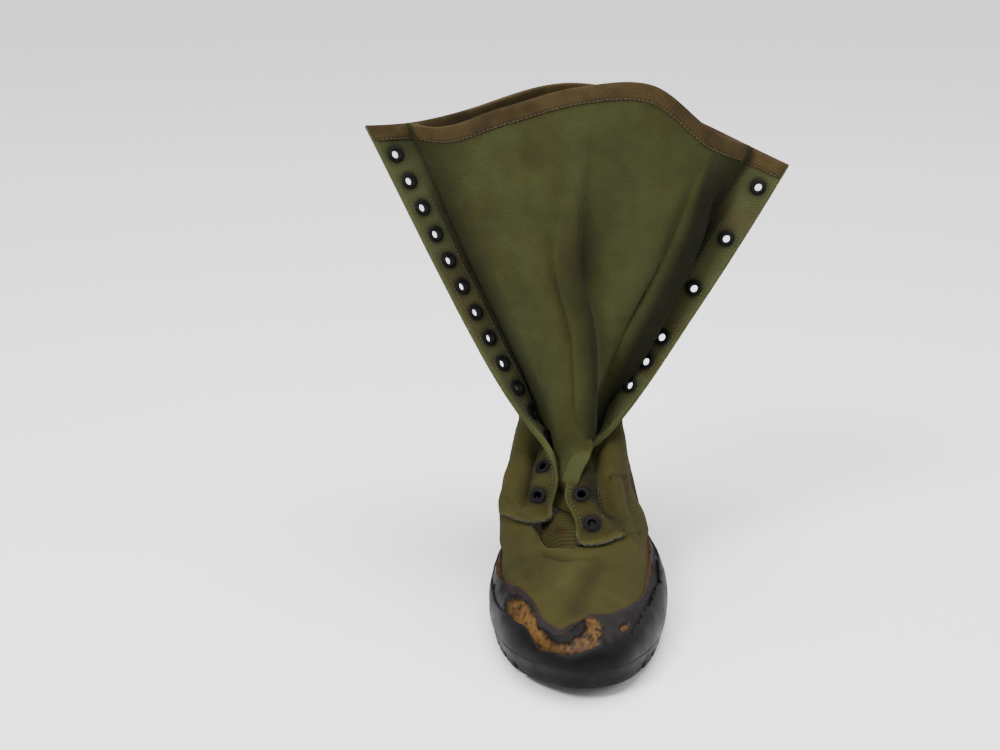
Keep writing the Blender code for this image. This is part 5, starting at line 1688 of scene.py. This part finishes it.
def make_foxing():
    """Rubber wall on the canvas: a thin strip along its edge, a thicker ply below, torn at the
    toe."""
    around, points, outward = (part[:-1] for part in rubber_columns(-1, 1, FOXING_COLUMNS))
    edge = rubber_edge(around)
    share = np.linspace(0, 1, RUBBER_ROWS)
    rises = edge[:, None] * share[None]
    middle, normal = at_rise(points, outward, rises)
    u = around[:, None] + 0 * rises
    torn = torn_mask(u, rises)
    from_edge = edge[:, None] - rises
    probe = wall_probe(u, rises)
    rag = noises(probe, (0.0011, 0.0045, 131), (0.0005, 0.0016, 132))
    toe = window(around, -0.30, -0.25, 0.40, 0.46)[:, None]
    side = window(around, 0.03, 0.06, 0.40, 0.44)[:, None]
    strip_width = np.where(around < -0.02, *EDGE_STRIP)[:, None]
    strip = (1 - smooth(0.0, 0.0012, from_edge + rag - strip_width)) * toe
    beyond = ((around < BUMPER_FIRST) | (around > BUMPER_LAST))[:, None]
    thick = RUBBER - (RUBBER - EDGE_THICKNESS) * strip - 0.0010 * side * (1 - strip)
    over = np.clip(rises / band_height(around)[:, None], 0, 1.3)
    outer_band = beyond * (over <= 1.0) * (BUMPER + 0.0004) * bulge(over)
    thick = thick - 0.0012 * beyond * (over > 1.0) + outer_band
    fibre = value_noise(np.stack((u * 1.0, rises * 0.8, 0 * u), axis=-1), 0.0016, 135)
    fibre = 0.6 * fibre + 0.4 * value_noise(probe, 0.0011, 136)
    thick = thick * (1 - TORN_AWAY * torn) + torn * 0.0004 * fibre
    thick = thick + 0.0002 * value_noise(probe, 0.0050, 134) * (1 - torn)
    thick = np.maximum(thick, 0.0003) * (0.25 + 0.75 * smooth(1.0, 0.97, share)[None])
    mottle = noises(probe, (0.6, 0.010, 141), (0.4, 0.003, 142))
    sheen = np.clip(0.10 + 0.85 * strip + 0.65 * side + 0.25 * mottle, 0, 1)
    fleck = smooth(0.30, 0.70, value_noise(probe, 0.0045, 143) + 0.4 * mottle)
    colour = mix(mix(BLACK, SLATE, sheen), RUST * 0.6, fleck * 0.40 * toe)
    hem = bell(from_edge, 0.0012) * (0.5 + 0.5 * mottle)
    colour = mix(colour, BROWN, np.clip(hem, 0, 0.7))
    orange = mix(OCHRE, RUST, smooth(-0.2, 0.6, fibre + 0.5 * mottle))
    soiled = smooth(-0.05, 0.7, value_noise(probe, 0.0026, 144) + 0.4 * fibre)
    colour = mix(colour, mix(orange, DIRT_AND_SHADE, soiled * 0.85), torn)
    border = np.abs(np.gradient(torn, axis=1)) + np.abs(np.gradient(torn, axis=0))
    colour = mix(colour, DIRT_AND_SHADE * 0.6, np.clip(border, 0, 1) * 0.75)
    under = CANVAS / 2 + 0.0002
    rubber_piece("foxing_rubber", "foxing", middle, normal, under, under + thick, colour, True)


def make_bumper():
    """Smooth bulging layer round the toe, its upper edge ragged on the outer side."""
    around, points, outward = rubber_columns(BUMPER_FIRST + 0.003, BUMPER_LAST - 0.003,
                                              BUMPER_COLUMNS)
    band = band_height(around)
    probe = wall_probe(around)
    ragged = window(around, 0.08, 0.13, 0.40, 0.43)
    top = band + 0.0003 * value_noise(probe, 0.0030, 150)
    top += ragged * noises(probe, (0.0013, 0.0034, 151), (0.0007, 0.0013, 152))
    share = np.linspace(0, 1, BUMPER_ROWS)
    rises = top[:, None] * share[None]
    middle, normal = at_rise(points, outward, rises)
    over = np.clip(rises / (band[:, None] * 1.06), 0, 1)
    thick = 0.0003 + (BUMPER + 0.0002) * bulge(over)
    thick = thick + 0.00010 * value_noise(middle, 0.006, 153)
    thick[:, -1] *= 0.55
    # Greyer towards the outer side: painted sheen
    grey = 0.10 + 0.45 * smooth(0.0, 0.2, around)[:, None]
    mottle = value_noise(middle, 0.012, 154)
    colour = mix(BLACK, SLATE, np.clip(grey + 0.15 * mottle, 0, 1))
    lip = bell(1 - share[None], 0.05) * (0.5 + 0.5 * mottle)
    colour = mix(colour, SLATE * 1.2, np.clip(lip, 0, 1) * 0.5)
    under = CANVAS / 2 + 0.0003 + RUBBER
    rubber_piece("toe_bumper_rubber", "toe_bumper", middle, normal, under, under + thick, colour)


def sole_loop(inset, blend):
    """Closed loop round the sole's outline at a blend from the under face to the upper face."""
    loop = []
    share = np.linspace(0, 1, SOLE_STATIONS)
    for side in SIDES:
        x, y = outline_point(side, share, inset)
        z = toe_lift(y) * (1 - blend) + (sole_top(y) - GAP) * blend
        points = np.stack((x, y, z), axis=1)
        loop.append(points if side == "medial" else points[-2:0:-1])
    return np.concatenate(loop)


def cap(loop, start, strips, height):
    """Vertices and faces that close a loop with rungs from its inner to its outer side."""
    half = len(loop) // 2
    verts, rungs = [], []
    count = start
    for i in range(1, half):
        a, b = loop[i], loop[-i]
        rung = [i]
        for k in range(1, strips):
            p = a + (b - a) * k / strips
            verts.append((p[0], p[1], height(p[1])))
            rung.append(count)
            count += 1
        rungs.append(rung + [len(loop) - i])
    quads = [(low[k], low[k + 1], high[k + 1], high[k])
             for low, high in zip(rungs[:-1], rungs[1:]) for k in range(strips)]
    tips = [(0, rungs[0][k], rungs[0][k + 1]) for k in range(strips)]
    tips += [(half, rungs[-1][k + 1], rungs[-1][k]) for k in range(strips)]
    return np.array(verts), quads, tips


def box_mesh(boxes):
    """One mesh of many boxes, each a 4 by 4 matrix applied to a unit cube."""
    corner = np.array([(x, y, z, 1) for x in (-.5, .5) for y in (-.5, .5) for z in (-.5, .5)])
    quads = np.array(((0, 1, 3, 2), (4, 6, 7, 5), (0, 4, 5, 1), (2, 3, 7, 6), (0, 2, 6, 4),
                      (1, 5, 7, 3)))
    verts = np.concatenate([(corner @ np.array(m).T)[:, :3] for m in boxes])
    faces = np.concatenate([quads + 8 * k for k in range(len(boxes))])
    return new_mesh("tread_boxes", verts, faces.tolist())


def sole_mesh():
    """The sole before its tread is cut: levels of its rounded wall, closed above and below."""
    loops = np.array([sole_loop(inset, blend) for inset, blend in SOLE_LEVELS])
    count = loops.shape[1]
    ids = np.arange(loops.shape[0] * count).reshape(loops.shape[:2])
    after = np.roll(ids, -1, axis=1)
    faces = np.stack((ids[:-1], ids[1:], after[1:], after[:-1]), axis=-1).reshape(-1, 4).tolist()
    verts = [loops.reshape(-1, 3)]
    start = ids.size
    for level, flip, height in ((0, False, toe_lift),
                                (len(loops) - 1, True, lambda y: sole_top(y) - GAP)):
        extra, quads, tips = cap(loops[level], start, 6, height)
        for face in quads + tips:
            face = tuple(v + ids[level, 0] if v < count else v for v in face)
            faces.append(face[::-1] if flip else face)
        verts.append(extra)
        start += len(extra)
    return new_mesh("outsole_rubber", to_frame(np.concatenate(verts)), faces)


def tread_cutter():
    """Boxes that cut the grooves between the edge lugs and the short grooves further in."""
    boxes = []
    length = GROOVE_REACH + GROOVE_OVERRUN
    for side, sign in SIDES.items():
        curve = OUTLINES[side][1]
        turn = Matrix.Rotation(sign * GROOVE_SLANT, 4, "Z")
        for begin, end in LUG_ZONES:
            for y in np.arange(begin * LENGTH, end * LENGTH, LUG_PITCH):
                x = np.interp(y, curve[:, 1], curve[:, 0])
                top = toe_lift(y) + TREAD_DEPTH
                cuts = [((x - sign * (length / 2 - GROOVE_OVERRUN), y - HEEL_CENTRE,
                          (top - TREAD_DEPTH) / 2), (length, LUG_GROOVE, top + TREAD_DEPTH))]
                if abs(x) > SHORT_FROM:
                    cuts.append(((x * SHORT_AT, y - HEEL_CENTRE + SHORT_SHIFT, toe_lift(y)),
                                 (abs(x) * SHORT_LENGTH, LUG_GROOVE * SHORT_WIDTH, SHORT_DEPTH)))
                boxes += [Matrix.Translation(Vector(middle)) @ turn @ Matrix.Diagonal((*size, 1.0))
                          for middle, size in cuts]
    return add("tread_boxes", box_mesh(boxes))


def waist_block():
    """Block that lifts the sole's waist off the floor."""
    profile = [(ARCH[0][0] * LENGTH, -TREAD_DEPTH)]
    profile += [(along * LENGTH, ARCH_HEIGHT * lift) for along, lift in ARCH]
    profile += [(ARCH[-1][0] * LENGTH, -TREAD_DEPTH)]
    n = len(profile)
    verts = [(x, y - HEEL_CENTRE, z) for x in (-BALL_WIDTH, BALL_WIDTH) for y, z in profile]
    faces = [(i, (i + 1) % n, (i + 1) % n + n, i + n) for i in range(n)]
    faces += [tuple(range(n))[::-1], tuple(range(n, 2 * n))]
    return add("waist_block", new_mesh("waist_block", verts, faces))


def make_outsole():
    """Moulded sole with rounded edges, a rib round its side, the waist and the edge lugs."""
    obj = add("outsole_rubber", sole_mesh())
    cutter, waist = tread_cutter(), waist_block()
    for tool in (cutter, waist):
        cut = obj.modifiers.new(tool.name, "BOOLEAN")
        cut.operation = "DIFFERENCE"
        cut.object = tool
        cut.solver = "EXACT"
        cut.use_self = tool is cutter
    soften = obj.modifiers.new("Edges", "BEVEL")
    soften.width = EDGE_ROUNDING
    soften.segments = 2
    soften.limit_method = "ANGLE"
    soften.angle_limit = 0.9
    graph = bpy.context.evaluated_depsgraph_get()
    shaped = bpy.data.meshes.new_from_object(obj.evaluated_get(graph))
    obj.modifiers.clear()
    obj.data = shaped
    for tool in (cutter, waist):
        bpy.data.objects.remove(tool)
    shaped.shade_smooth()
    shaped.materials.clear()
    shaped.materials.append(RUBBER_SOLE)
    co = np.zeros(len(shaped.vertices) * 3, np.float32)
    shaped.vertices.foreach_get("co", co)
    co = co.reshape(-1, 3).astype(float)
    dust = smooth(0.003, -0.001, co[:, 2]) * 0.35
    dust = dust + 0.12 * smooth(0.2, 0.8, value_noise(co, 0.005, 162))
    colour = mix(BLACK * 1.05, FLOOR_DUST, dust)
    paint_on(shaped, mix(colour, SLATE, np.clip(0.25 + 0.3 * value_noise(co, 0.010, 161), 0, 1)))
    finish_piece(obj, "black_rubber", "outsole")


def dress_insole():
    """The liner keeps its solid and takes a woven, soiled material."""
    s = Shader("insole_liner", Roughness=0.95)
    place = s.coords("Object")
    s.base(s.ramp(s.noise(place, 30.0, 5.0), (0.020, 0.017, 0.010), (0.060, 0.054, 0.032)))
    s.bump(s.wave(place, 280.0, 1.0, "X"), 0.0003, 0.6)
    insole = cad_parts["insole"]
    insole.data.materials.clear()
    insole.data.materials.append(s.mat)


# ---- stage

# The floor's far part is a darker tone that glows a little, as a lit wall would, and hides nothing
FLOOR_REACH = 6.0
FLOOR_END = 0.330
FLOOR_FADED = 1.300
FLOOR_TONE = (0.86, 0.85, 0.86)
FAR_TONE = (0.50, 0.49, 0.52)
FAR_LIGHT = (0.97, 0.96, 1.0, 1)
FAR_GLOW = 0.95
LIGHTS = (
    # name, place, target, size, power, colour
    ("key", (-1.1, -1.2, 1.8), (0.0, -0.05, 0.12), 0.8, 62.0, (1.0, 0.99, 0.97)),
    ("side", (1.5, -0.7, 1.1), (0.0, 0.0, 0.10), 1.0, 12.0, (0.97, 0.98, 1.0)),
    ("top", (0.1, 0.0, 2.2), (0.0, 0.0, 0.0), 1.8, 96.0, (1, 1, 1)),
)
ROOM_TONE = (0.95, 0.96, 1.0, 1)
ROOM_GLOW = 0.70
CAMERA_PLACE = (-0.047, -1.0579, 0.445)
CAMERA_TILT = 17.6
LENS = 57.6
SENSOR_WIDTH = 36.0


def make_floor():
    """One wide plane that turns to a lit wall's tone behind the boot."""
    r = FLOOR_REACH
    mesh = new_mesh("floor", [(-r, -r, 0), (r, -r, 0), (r, r, 0), (-r, r, 0)], [(0, 1, 2, 3)])
    s = Shader("pale_floor", Roughness=0.6, Emission_Color=FAR_LIGHT)
    along = s.node("ShaderNodeSeparateXYZ", {0: s.coords("Object")}).outputs[1]
    far = s.span(along, FLOOR_END, FLOOR_FADED, 0.0, 1.0)
    s.base(s.ramp(far, FLOOR_TONE, FAR_TONE))
    s.put(s.bsdf.inputs["Emission Strength"], s.math("MULTIPLY", far, FAR_GLOW))
    mesh.materials.append(s.mat)
    obj = add("floor", mesh)


def make_stage():
    """The floor, three soft lights and a pale room."""
    make_floor()
    for name, place, target, size, power, colour in LIGHTS:
        data = bpy.data.lights.new(name, "AREA")
        data.shape = "DISK"
        data.size = size
        data.energy = power
        data.color = colour
        obj = add(name, data)
        obj.location = place
        obj.rotation_mode = "QUATERNION"
        obj.rotation_quaternion = (Vector(target) - Vector(place)).to_track_quat("-Z", "Y")
    world = bpy.data.worlds.new("soft_room")
    world.use_nodes = True
    background = world.node_tree.nodes["Background"]
    background.inputs["Color"].default_value = ROOM_TONE
    background.inputs["Strength"].default_value = ROOM_GLOW
    bpy.context.scene.world = world


def make_camera():
    """The photo's view: its place, tilt and lens."""
    data = bpy.data.cameras.new("camera")
    data.sensor_width = SENSOR_WIDTH
    data.lens = LENS
    data.clip_start = 0.01
    obj = add("camera", data)
    obj.location = CAMERA_PLACE
    obj.rotation_euler = (np.radians(90 - CAMERA_TILT), 0.0, 0.0)
    bpy.context.scene.camera = obj


make_camera()
make_stage()
make_vamp()
make_quarters()
make_seams()
make_frayed_edges()
make_tongue()
make_throat_lining()
make_tapes()
make_eyelets()
make_foxing()
make_bumper()
make_outsole()
dress_insole()
